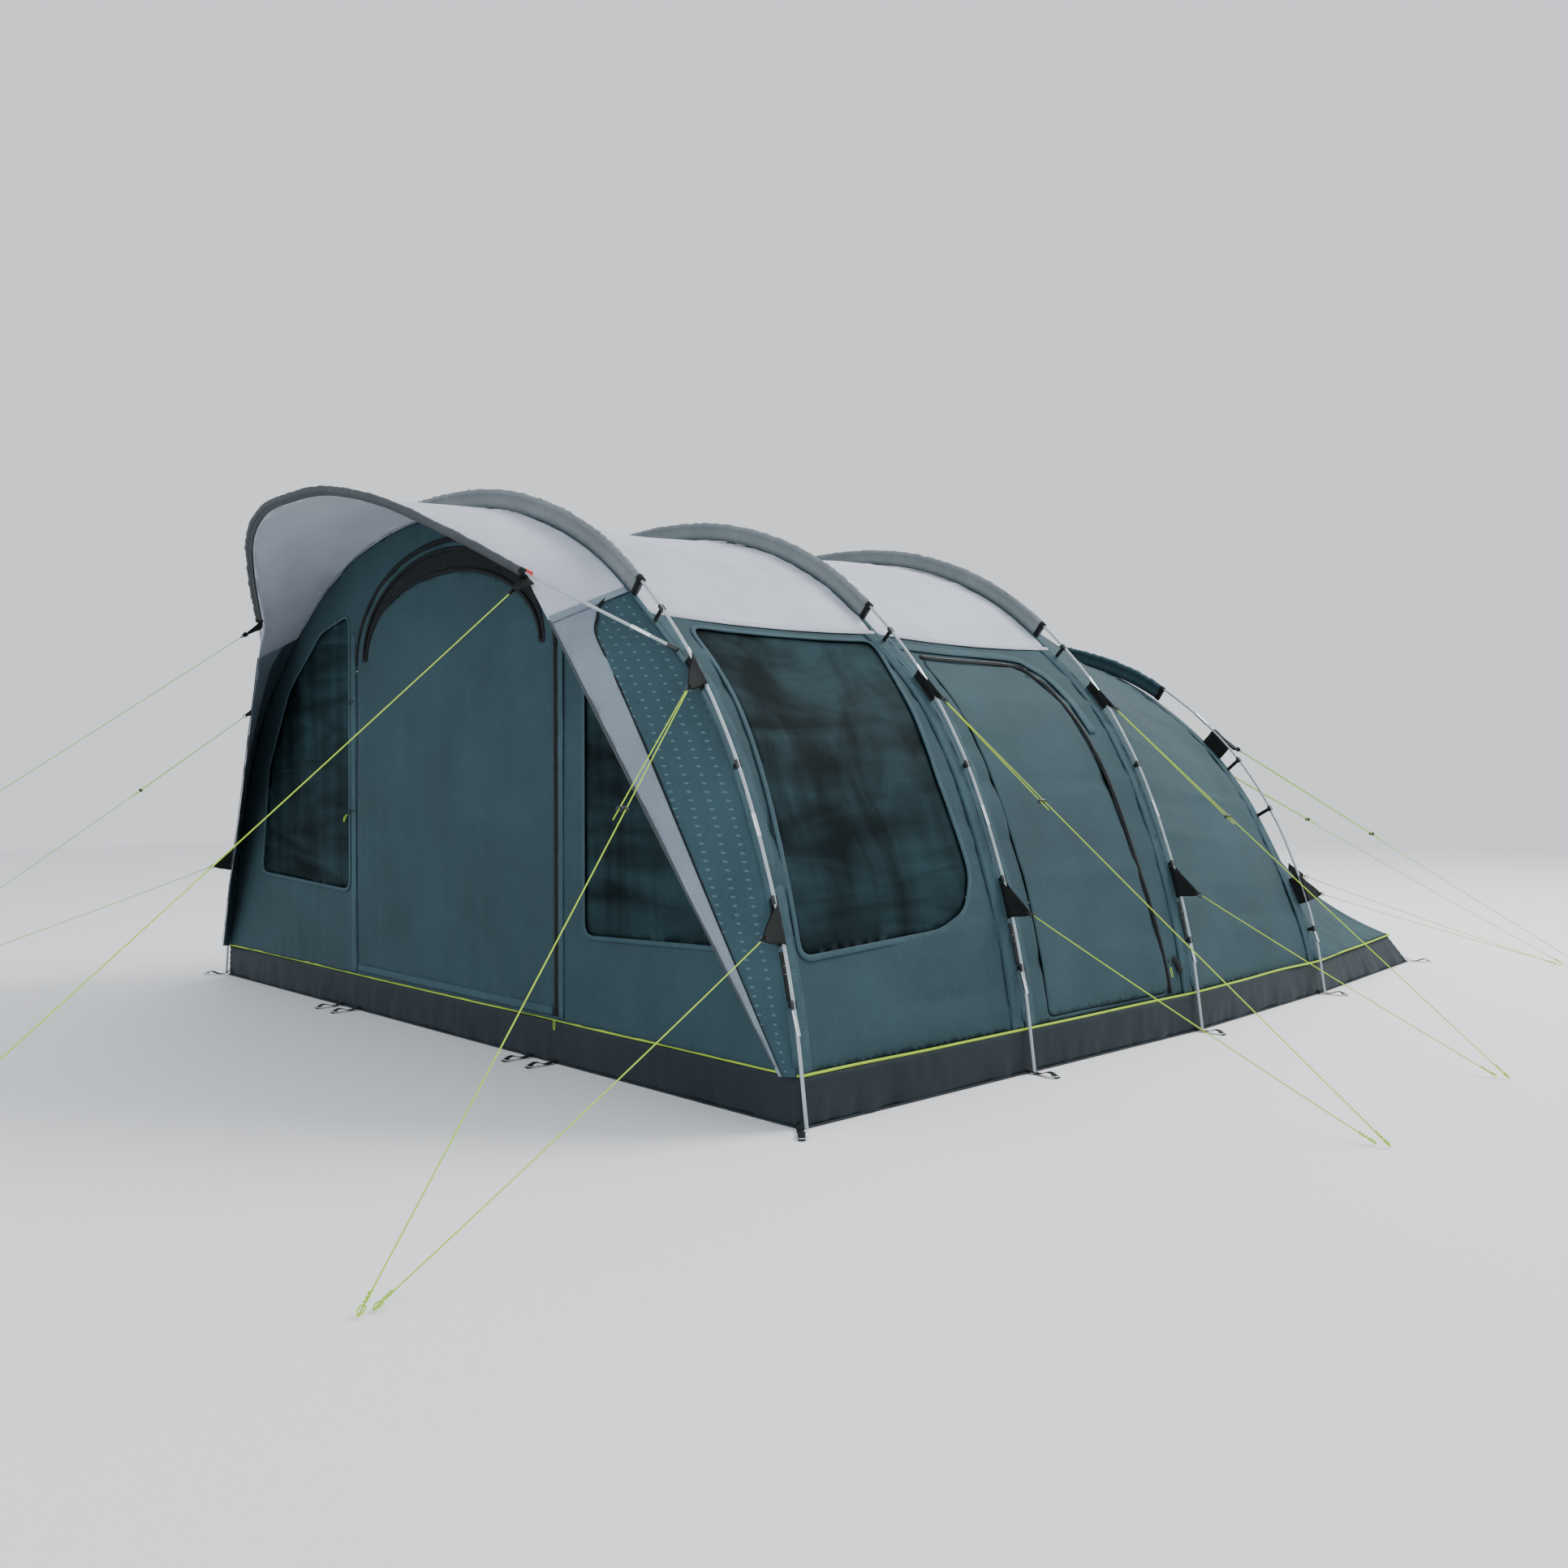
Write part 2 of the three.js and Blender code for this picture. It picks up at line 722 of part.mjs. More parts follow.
// Porch: the pale roof with its hem bands down both wings, and a darker panel in each wing
const wingTop = wingTopAt / 2;
const wings = Object.entries(sides).map(([name, side]) => ({
  name,
  side,
  span: half(side, 0, wingTop),
}));
const porchPatches = Object.values(sides).map((side) => {
  const end = porchEdge(side > 0 ? porchEdgeAt / 2 : 1 - porchEdgeAt / 2);
  const pull = new THREE.Vector3(...mirrored(pegPorch, side)).sub(end).normalize();
  const tip = end.clone().addScaledVector(pull, porchPatchReach);
  const back = end.clone().addScaledVector(pull, -12);
  const along = new THREE.Vector3(-side * 0.8, 0, 0.6);
  const edge = (p, reach) => p.clone().addScaledVector(along, reach);
  return prism([edge(back, -45), edge(tip, -tipHalf), edge(tip, tipHalf), edge(back, 45)], skin);
});
const overlap = 0.004;
const porchRoof = sheet(partOf(porch, wingTop, 1 - wingTop), 14, 3);
const hemBands = wings.map(({ side }) =>
  sheet(partOf(porch, ...half(side, 0, wingTop + overlap), wingShare, 1), 8, 1),
);
add("porch_roof", joined([porchRoof, ...hemBands, ...porchPatches]), "roof");
const wingEdge = wingShare - 0.006;
for (const { name, side } of wings)
  add(`wing_${name}`, sheet(partOf(porch, ...half(side, 0, wingTop - hemGap), 0, wingEdge), 10, 2), "fly");

// Front wall in the plane of the front hoop
const frontInset = 14;
const frontWallHalf = 2;
const frontOutline = [];
const outlineSteps = 32;
for (let i = 0; i <= outlineSteps; i++) {
  const u = footAt + ((1 - 2 * footAt) * i) / outlineSteps;
  const p = insetPoint(hoops.front.curve, u, fullInset(rise(u)) + frontInset);
  frontOutline.push([p.x, Math.max(p.z, flyFootZ)]);
}
const frontDoor = { left: -670, right: 820, shoulder: 1480, top: 1930 };

// A door outline with a half-oval top, shrunk by a margin
function doorOutline(margin, bottom, shoulder = frontDoor.shoulder) {
  const middle = (frontDoor.left + frontDoor.right) / 2;
  const reach = (frontDoor.right - frontDoor.left) / 2 - margin;
  const points = [
    [middle - reach, bottom],
    [middle + reach, bottom],
  ];
  for (let i = 0; i <= 12; i++) {
    const angle = (i / 12) * Math.PI;
    points.push([
      middle + reach * Math.cos(angle),
      shoulder + (frontDoor.top - frontDoor.shoulder - margin) * Math.sin(angle),
    ]);
  }
  return points;
}

const frontWindowLeft = [
  [-1640, 545],
  [-745, 515],
  [-745, 1700],
  [-1010, 1640],
  [-1330, 1400],
  [-1560, 1040],
];
const frontWindowRight = [
  [1000, 470],
  [1760, 500],
  [1640, 900],
  [1430, 1290],
  [1200, 1520],
  [1000, 1600],
];

function frontSlab(points, thickness = frontWallHalf) {
  return slabXZ(points, -thickness, thickness);
}

const sillZ = flyFootZ + 12;
const frontHoles = [doorOutline(0, sillZ), frontWindowLeft, frontWindowRight];
const frontCuts = frontHoles.map((points) => frontSlab(points, 20));
add("front_wall", frontCuts.reduce((wall, cut) => wall.subtract(cut), frontSlab(frontOutline)), "fly");
add("front_window_left", frontSlab(shrunk(frontWindowLeft, paneGap)), "window", looks.clear);
add("front_window_right", frontSlab(shrunk(frontWindowRight, paneGap)), "window", looks.clear);

// The mesh vent under the top of the door: a crescent between two half ovals, shrunk by a gap
function crescent(gap) {
  const middle = (frontDoor.left + frontDoor.right) / 2;
  const reach = (frontDoor.right - frontDoor.left) / 2 - 60 - gap;
  const height = frontDoor.top - frontDoor.shoulder - 50 - gap;
  const base = frontDoor.shoulder + 20;
  const tipWidth = 34 - 2 * gap;
  const depth = 92 - 2 * gap;
  const arc = (x, z) =>
    Array.from({ length: 13 }, (_, i) => {
      const angle = (i / 12) * Math.PI;
      return [middle + x * Math.cos(angle), base + z * Math.sin(angle)];
    });
  return [...arc(reach, height), ...arc(reach - tipWidth, height - depth).reverse()];
}
const doorPanel = frontSlab(doorOutline(doorGap, sillZ + doorGap));
add("front_door", doorPanel.subtract(frontSlab(crescent(0), 20)), "fly");
add("front_door_vent", frontSlab(crescent(paneGap)), "window", looks.clear);

// Skirt: a strip round the foot of the tent with a pegging strap at each corner and seam
const skirtStops = [
  [fullHalfWidth - legInset, 0],
  [fullHalfWidth - legInset, middleHoopY],
  [fullHalfWidth - legInset, rearHoopY],
  [tailHalfWidth - tailLegInset, tailHoopY],
  [cornerX, cornerY],
  [0, backY],
];
const skirtTops = [
  [fullHalfWidth - legInset - 9, 4],
  [fullHalfWidth - legInset - 9, middleHoopY],
  [fullHalfWidth - legInset - 9, rearHoopY],
  [tailHalfWidth - tailLegInset - 9, tailHoopY],
  [cornerX - tailFootRun / 2, cornerY - tailFootRun],
  [0, backY - tailFootRun],
];
const stopsRound = (stops) => [...stops, ...stops.slice(0, -1).reverse().map(([x, y]) => [-x, y])];
const footRing = stopsRound(skirtStops);
const topRing = stopsRound(skirtTops);
const stepsPerStop = 3;

function skirt(u, v) {
  const count = footRing.length;
  const place = ((u % 1) + 1) % 1 * count;
  const i = Math.floor(place) % count;
  const share = place - Math.floor(place);
  const at = (ring) => {
    const [x0, y0] = ring[i];
    const [x1, y1] = ring[(i + 1) % count];
    return new THREE.Vector2(x0 + (x1 - x0) * share, y0 + (y1 - y0) * share);
  };
  const p = at(footRing).lerp(at(topRing), v);
  return new THREE.Vector3(p.x, p.y, skin / 2 + 0.5 + v * (skirtHeight - skin));
}

const straps = [
  [2060, 0, 0.75, -0.66],
  [2060, middleHoopY, 1, 0],
  [2060, rearHoopY, 1, 0],
  [1975, tailHoopY, 0.95, 0.3],
  [cornerX - 6, cornerY - 6, 0.8, 0.6],
  [frontDoor.right, 4, 0, -1],
  [-frontDoor.left, 4, 0, -1],
];
const strapLength = 130;
const strapSolids = straps.flatMap(([x, y, dx, dy]) =>
  Object.values(sides).map((side) => {
    const from = new THREE.Vector3(side * x, y, 2);
    const to = new THREE.Vector3(side * (x + dx * strapLength), y + dy * strapLength, 2);
    const across = new THREE.Vector3(-dy * side, dx, 0).multiplyScalar(11);
    return prism(
      [from.clone().sub(across), to.clone().sub(across), to.clone().add(across), from.clone().add(across)],
      2,
    );
  }),
);
const skirtBand = sheet(skirt, footRing.length * stepsPerStop, 1, skin, true);
add("skirt", joined([skirtBand, ...strapSolids]), "skirt");

// Groundsheet: a flat floor inside the skirt with a low rim
const floorInset = 45;
const floorPoints = footRing.map(([x, y]) => {
  const nearFront = y < 1 ? floorInset : 0;
  const nearBack = y > tailHoopY + 1 ? floorInset + tailFootRun : 0;
  return [x - Math.sign(x) * (floorInset + nearBack / 3), y + nearFront - nearBack];
});

function flatSlab(points, from, to) {
  const shape = new THREE.Shape(points.map(([x, y]) => new THREE.Vector2(x, y)));
  const geometry = new THREE.ExtrudeGeometry(shape, { depth: to - from, bevelEnabled: false });
  geometry.translate(0, 0, from);
  return solid(geometry);
}

const rimHeight = 80;
const rimThickness = 4;
const floorThickness = 3;
const rimGap = 0.3;
const rimInside = shrunk(floorPoints, rimThickness);
add("groundsheet_floor", flatSlab(floorPoints, 0, floorThickness), "skirt");

// Its rim stands on the floor in four lengths: front, both sides and back
const rimFrom = floorThickness + rimGap;
const rim = flatSlab(floorPoints, rimFrom, rimHeight).subtract(flatSlab(rimInside, 0, rimHeight + 10));
const rimBackX = cornerX - 120;
const rimFrontY = floorInset + rimThickness;
const rimReach = 2 * cornerY;

function rimLength(xFrom, xTo, yFrom, yTo) {
  const region = [[xFrom, yFrom], [xTo, yFrom], [xTo, yTo], [xFrom, yTo]];
  return rim.intersect(flatSlab(region, 0, rimHeight + 10));
}

add("groundsheet_rim_front", rimLength(-rimReach, rimReach, 0, rimFrontY), "skirt");
add("groundsheet_rim_back", rimLength(-rimBackX, rimBackX, tailHoopY, rimReach), "skirt");
add("groundsheet_rim_right", rimLength(rimBackX + rimGap, rimReach, rimFrontY + rimGap, rimReach), "skirt");
add("groundsheet_rim_left", rimLength(-rimReach, -rimBackX - rimGap, rimFrontY + rimGap, rimReach), "skirt");

// Bedroom: a hollow inner tent under the rear bay and the tail, with a doorway in its front
const bedroomFrom = 2480;
const bedroomTo = 4250;
const bedroomInset = 220;
const bedroomFootZ = 72;
const bedroomSlopeFrom = tailHoopY - 100;

function bedroomSurface(u, v) {
  const y = bedroomFrom + v * (bedroomTo - bedroomFrom);
  const slope = Math.max(0, (y - bedroomSlopeFrom) / (cornerY - tailHoopY));
  const p = insetPoint(hoops.tail.curve, 0.02 + 0.96 * u, bedroomInset);
  const z = Math.max(p.z * (1 - slope), bedroomFootZ);
  return new THREE.Vector3(p.x * (1 - slope / 6), y, z);
}

const bedroomCloth = sheet(bedroomSurface, 14, 4, skin);
const bedroomFrontOutline = [];
for (let i = 0; i <= 14; i++) {
  const p = bedroomSurface(i / 14, 0);
  bedroomFrontOutline.push([p.x, p.z]);
}
const bedroomDoor = [
  [-1100, bedroomFootZ + 100],
  [1100, bedroomFootZ + 100],
  [1000, 900],
  [620, 1240],
  [-620, 1240],
  [-1000, 900],
];
const bedroomFront = slabXZ(bedroomFrontOutline, bedroomFrom - 2, bedroomFrom + 2).subtract(
  slabXZ(bedroomDoor, bedroomFrom - 20, bedroomFrom + 20),
);
add("bedroom", joined([bedroomCloth, bedroomFront]), "inner");

// Zip sliders
const sliderGap = 7; // from the middle of the cloth to the middle of a slider
const frontSliderAt = new THREE.Vector3(frontDoor.right + 9, -sliderGap, 190);
add("front_door_slider", block(10, 6, 22, frontSliderAt), "fitting");
const sideZip = { z: 300, y: 2038 };
const sideZipU = fractionAtHeight(hoops.middle.curve, sideZip.z);
const sideZipV = (sideZip.y - middleHoopY) / (rearHoopY - middleHoopY);
const sideSliderAt = middleBay(sideZipU, sideZipV);
sideSliderAt.x += sliderGap + 4;
add("side_door_slider", block(6, 9, 20, sideSliderAt), "fitting");

// Guylines: the upper ones come back to a runner, the lower ones are single
const lines = [];
function addLine(name, start, peg, runnerAt) {
  lines.push({ name, start, end: new THREE.Vector3(...peg), sag: lineSag, runnerAt });
}
// The lower line of a pair ends a little before the upper one, so that they don't cross
function shortOf(peg, from) {
  const end = new THREE.Vector3(...peg);
  const back = from.clone().sub(end).setZ(0).normalize();
  return end.addScaledVector(back, pairGap).toArray();
}
for (const [name, side] of [
  ["front", 1],
  ["front", -1],
  ["middle", 1],
  ["rear", 1],
  ["tail", 1],
]) {
  const pair = guyPair(name, side);
  const label = `${name}_${side > 0 ? "right" : "left"}`;
  const peg = mirrored(pegs[name], side);
  const offPatch = (point) => point.tip.clone().addScaledVector(point.pull, tipGap);
  const runnerShare = { front: 0.27, middle: 0.27, rear: 0.33, tail: 0.36 }[name];
  addLine(`${label}_upper`, offPatch(pair.upper), peg, runnerShare);
  addLine(`${label}_lower`, offPatch(pair.lower), shortOf(peg, pair.lower.tip));
}
for (const [label, place, share] of [
  ["upper", backUpper, 0.3],
  ["lower", backLower, undefined],
]) {
  const point = backPoint(place, 1, pegBack);
  const start = point.tip.clone().addScaledVector(point.pull, tipGap);
  const peg = label === "upper" ? pegBack : shortOf(pegBack, point.tip);
  addLine(`back_right_${label}`, start, peg, share);
}
for (const [name, side] of Object.entries(sides)) {
  const end = porchEdge(side > 0 ? porchEdgeAt / 2 : 1 - porchEdgeAt / 2);
  const pull = new THREE.Vector3(...mirrored(pegPorch, side)).sub(end).normalize();
  const start = end.addScaledVector(pull, porchPatchReach + tipGap);
  addLine(`porch_${name}`, start, mirrored(pegPorch, side));
}
for (const line of lines) {
  add(`guyline_${line.name}`, cordSolid(line), "guyline");
  if (line.runnerAt) add(`runner_${line.name}`, runnerSolid(line), "fitting");
}

// The tent's origin is the middle of its foot: under the middle of its length, on the ground.
const middleY = 2119.7;
tent.position.set(0, -middleY, 0);
const part = new THREE.Group();
part.add(tent);

export default part;
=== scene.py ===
# A family tunnel tent: taut coated cloth in bays over bent poles, with a porch, a skirt and guylines.
import math
import bpy
import numpy as np
from mathutils import Matrix, Vector
from mathutils.geometry import delaunay_2d_cdt


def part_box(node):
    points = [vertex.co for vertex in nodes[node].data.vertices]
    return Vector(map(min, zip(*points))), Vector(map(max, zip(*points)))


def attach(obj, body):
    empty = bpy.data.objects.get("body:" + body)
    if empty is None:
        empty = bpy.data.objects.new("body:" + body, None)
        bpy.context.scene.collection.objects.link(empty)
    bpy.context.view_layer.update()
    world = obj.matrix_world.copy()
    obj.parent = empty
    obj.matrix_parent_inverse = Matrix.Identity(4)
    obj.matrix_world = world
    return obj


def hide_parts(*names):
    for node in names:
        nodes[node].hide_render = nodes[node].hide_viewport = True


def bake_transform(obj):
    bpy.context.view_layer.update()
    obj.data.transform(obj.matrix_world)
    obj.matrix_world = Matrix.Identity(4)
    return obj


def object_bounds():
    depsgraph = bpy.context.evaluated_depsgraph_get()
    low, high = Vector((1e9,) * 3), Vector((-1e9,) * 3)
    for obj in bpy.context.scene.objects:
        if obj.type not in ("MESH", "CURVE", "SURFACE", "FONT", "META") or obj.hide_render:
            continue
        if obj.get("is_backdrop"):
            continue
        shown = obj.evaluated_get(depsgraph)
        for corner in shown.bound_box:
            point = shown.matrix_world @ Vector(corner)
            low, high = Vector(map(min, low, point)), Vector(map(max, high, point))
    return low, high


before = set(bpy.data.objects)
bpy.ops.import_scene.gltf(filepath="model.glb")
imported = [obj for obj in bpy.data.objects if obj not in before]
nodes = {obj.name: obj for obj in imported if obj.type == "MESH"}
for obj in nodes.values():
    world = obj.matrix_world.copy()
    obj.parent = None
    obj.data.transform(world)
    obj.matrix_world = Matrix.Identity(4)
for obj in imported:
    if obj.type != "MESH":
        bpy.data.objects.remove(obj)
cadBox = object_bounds()
scene = bpy.context.scene
print("stage: frame loaded,", len(nodes), "nodes")


def sideName(side):
    return "right" if side > 0 else "left"


def centreOf(node):
    low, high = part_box(node)
    return (low + high) / 2


# The hoops' stations come from the frame, their outline is the one the poles were bent to.
hoopY = {name: centreOf("pole_" + name).y for name in ("front", "middle", "rear", "tail")}
frontY = hoopY["front"]
tent = {
    "fullHalfWidth": 2.09, "fullHeight": 2.1, "tailHalfWidth": 2.01, "tailHeight": 1.725,
    "poleRadius": 0.0055, "legInset": 0.024, "roofInset": 0.062, "tailLegInset": 0.03, "tailBayInset": 0.078,
    "roofSag": 0.03, "wallSag": 0.014, "footZ": 0.153, "hemZ": 1.6,
}
fullProfile = [(1, 0), (.974, .167), (.927, .336), (.842, .533), (.714, .71), (.509, .878), (.262, .974),
               (0, 1)]
porchProfile = [(1, 0), (.697, .412), (.514, .68), (.349, .875), (.175, .98), (0, 1)]
porchHoop = {"halfWidth": 1.529, "footZ": 1.421, "rise": 0.84, "lean": math.radians(42.7), "footGap": 0.024,
             "sleeveFrom": 0.335, "edgeAt": 0.62, "wingTop": 0.56}

# ---- camera first, then the guylines

cameraAt = {"lens": 32.24, "right": 4.968, "ahead": 2.822, "height": 1.061, "tilt": 89.17, "turn": 46.51}


def makeCamera():
    data = bpy.data.cameras.new("camera")
    data.lens = cameraAt["lens"]
    data.sensor_width = 36
    data.clip_end = 60
    camera = bpy.data.objects.new("camera", data)
    camera.location = (cameraAt["right"], frontY - cameraAt["ahead"], cameraAt["height"])
    camera.rotation_euler = (math.radians(cameraAt["tilt"]), 0, math.radians(cameraAt["turn"]))
    scene.collection.objects.link(camera)
    scene.camera = camera


makeCamera()


def linear(hexCode):
    parts = [int(hexCode[i:i + 2], 16) / 255 for i in (1, 3, 5)]
    return [c / 12.92 if c <= 0.04045 else ((c + 0.055) / 1.055) ** 2.4 for c in parts] + [1.0]


def addNode(tree, kind, settings=None, links=None):
    node = tree.nodes.new(kind)
    for key, value in (settings or {}).items():
        if isinstance(key, str) and hasattr(node, key):
            setattr(node, key, value)
        else:
            node.inputs[key].default_value = value
    for key, source in (links or {}).items():
        tree.links.new(source, node.inputs[key])
    return node


def newMaterial(name, slot):
    material = bpy.data.materials.new(name)
    material.use_nodes = True
    material.node_tree.nodes.clear()
    material["slot"] = slot
    return material, material.node_tree


def shade(tree, colour, bump, settings):
    shader = addNode(tree, "ShaderNodeBsdfPrincipled", settings)
    if colour is not None:
        tree.links.new(colour, shader.inputs["Base Color"])
    if bump is not None:
        tree.links.new(bump, shader.inputs["Normal"])
    addNode(tree, "ShaderNodeOutputMaterial", None, {"Surface": shader.outputs[0]})


def mixHex(tree, low, high, factor):
    return addNode(tree, "ShaderNodeMix", {"data_type": "RGBA", 6: linear(low), 7: linear(high)},
                   {0: factor}).outputs[2]


def objectPlace(tree):
    return addNode(tree, "ShaderNodeTexCoord").outputs["Object"]


def noiseOf(tree, place, **values):
    named = {key.capitalize(): value for key, value in values.items()}
    return addNode(tree, "ShaderNodeTexNoise", named, {"Vector": place}).outputs["Fac"]


def bumpOf(tree, height, strength, distance):
    bump = addNode(tree, "ShaderNodeBump", {"Strength": strength, "Distance": distance}, {"Height": height})
    return bump.outputs[0]


def wovenCloth(name, slot, low, high, weave=0.004, strength=0.2, roughness=0.8, sheen=0.02, dots=None):
    # Coated plain weave: matt, with faint clouding; the 0.4 mm thread is drawn several times coarser so it
    # shows.
    material, tree = newMaterial(name, slot)
    uv = addNode(tree, "ShaderNodeTexCoord").outputs["UV"]
    place = objectPlace(tree)
    cloud = noiseOf(tree, place, scale=3.1, detail=5.0, roughness=0.6)
    fine = noiseOf(tree, place, scale=60.0, detail=3.0)
    both = addNode(tree, "ShaderNodeMath", {"operation": "MULTIPLY_ADD", 1: 0.35}, {0: fine, 2: cloud})
    spread = addNode(tree, "ShaderNodeMapRange", {"From Min": 0.4, "From Max": 0.95},
                     {"Value": both.outputs[0]})
    colour = mixHex(tree, low, high, spread.outputs[0])
    turns = 1 / (weave * 20)  # a wave texture of scale 1 has about 20 / 2 pi bands in one unit
    warp = addNode(tree, "ShaderNodeTexWave", {"bands_direction": "X", "Scale": turns * 2 * math.pi},
                   {"Vector": uv})
    weft = addNode(tree, "ShaderNodeTexWave", {"bands_direction": "Y", "Scale": turns * 2 * math.pi},
                   {"Vector": uv})
    threads = addNode(tree, "ShaderNodeMath", {"operation": "MULTIPLY"},
                      {0: warp.outputs["Fac"], 1: weft.outputs["Fac"]})
    if dots:
        # small reflective dots printed on a square grid
        scaled = addNode(tree, "ShaderNodeVectorMath", {"operation": "SCALE", "Scale": 1 / dots["pitch"]},
                         {0: uv})
        cell = addNode(tree, "ShaderNodeVectorMath", {"operation": "FRACTION"}, {0: scaled.outputs[0]})
        away = addNode(tree, "ShaderNodeVectorMath", {"operation": "DISTANCE", 1: (0.5, 0.5, 0)},
                       {0: cell.outputs[0]})
        inside = addNode(tree, "ShaderNodeMath", {"operation": "LESS_THAN",
                                                  1: dots["radius"] / dots["pitch"]},
                         {0: away.outputs["Value"]})
        share = addNode(tree, "ShaderNodeMath", {"operation": "MULTIPLY", 1: dots["share"]},
                        {0: inside.outputs[0]})
        colour = addNode(tree, "ShaderNodeMix", {"data_type": "RGBA", 7: linear(dots["colour"])},
                         {0: share.outputs[0], 6: colour}).outputs[2]
    bump = bumpOf(tree, threads.outputs[0], strength, 0.0008)
    shade(tree, colour, bump, {"Roughness": roughness, "Sheen Weight": sheen, "Sheen Roughness": 0.5,
                                          "Specular IOR Level": 0.18})
    return material


def plainSurface(name, slot, low, high, strength, settings):
    # Smooth made surface: faint clouding and a very fine grain.
    material, tree = newMaterial(name, slot)
    place = objectPlace(tree)
    cloud = noiseOf(tree, place, scale=25.0, detail=4.0)
    bump = bumpOf(tree, noiseOf(tree, place, scale=400.0, detail=2.0), strength, 0.0005)
    shade(tree, mixHex(tree, low, high, cloud), bump, settings)
    return material


def ribbedWebbing(name, slot, low, high, rib=0.0022):
    # Woven narrow tape: fine ribs across its length, satin in the light.
    material, tree = newMaterial(name, slot)
    uv = addNode(tree, "ShaderNodeTexCoord").outputs["UV"]
    ribs = addNode(tree, "ShaderNodeTexWave", {"bands_direction": "X", "Scale": math.pi / (10 * rib),
                                               "Distortion": 0.6}, {"Vector": uv})
    place = objectPlace(tree)
    cloud = noiseOf(tree, place, scale=30.0)
    shade(tree, mixHex(tree, low, high, cloud), bumpOf(tree, ribs.outputs["Fac"], 0.4, 0.0006),
          {"Roughness": 0.75, "Specular IOR Level": 0.25})
    return material


def tintedFilm(name, slot):
    # Soft tinted PVC film, drawn opaque: near black, partly its own tint and partly painted shade of the dark
    # inside behind it, with slow upright and level streaks of painted light and shade like folds of a curtain
    # seen through it, and a slow painted glow.
    material, tree = newMaterial(name, slot)
    place = objectPlace(tree)
    upright = addNode(tree, "ShaderNodeMapping", {"Scale": (6.0, 6.0, 0.9)}, {"Vector": place})
    level = addNode(tree, "ShaderNodeMapping", {"Scale": (1.2, 1.2, 7.0)}, {"Vector": place})
    folds = noiseOf(tree, upright.outputs["Vector"], scale=1.0, detail=4.0, distortion=0.8)
    creases = noiseOf(tree, level.outputs["Vector"], scale=1.0, detail=5.0, distortion=1.2)
    # painted glow: a slow lighter patch where light falls on what is seen through the film
    paintedGlow = noiseOf(tree, place, scale=1.3, detail=1.0)
    both = addNode(tree, "ShaderNodeMath", {"operation": "MULTIPLY"}, {0: folds, 1: creases})
    paintedLightAndShade = addNode(tree, "ShaderNodeMath", {"operation": "MULTIPLY_ADD", 1: 0.35},
                  {0: paintedGlow, 2: both.outputs[0]})
    spread = addNode(tree, "ShaderNodeMapRange", {"From Min": 0.3, "From Max": 0.58},
                     {"Value": paintedLightAndShade.outputs[0]})
    # the colour is painted shade of the dark inside, lighter where the painted folds and glow catch light
    shade(tree, mixHex(tree, "#10181a", "#26393e", spread.outputs[0]), bumpOf(tree, folds, 0.12, 0.01),
          {"Roughness": 0.55, "Specular IOR Level": 0.015})
    return material


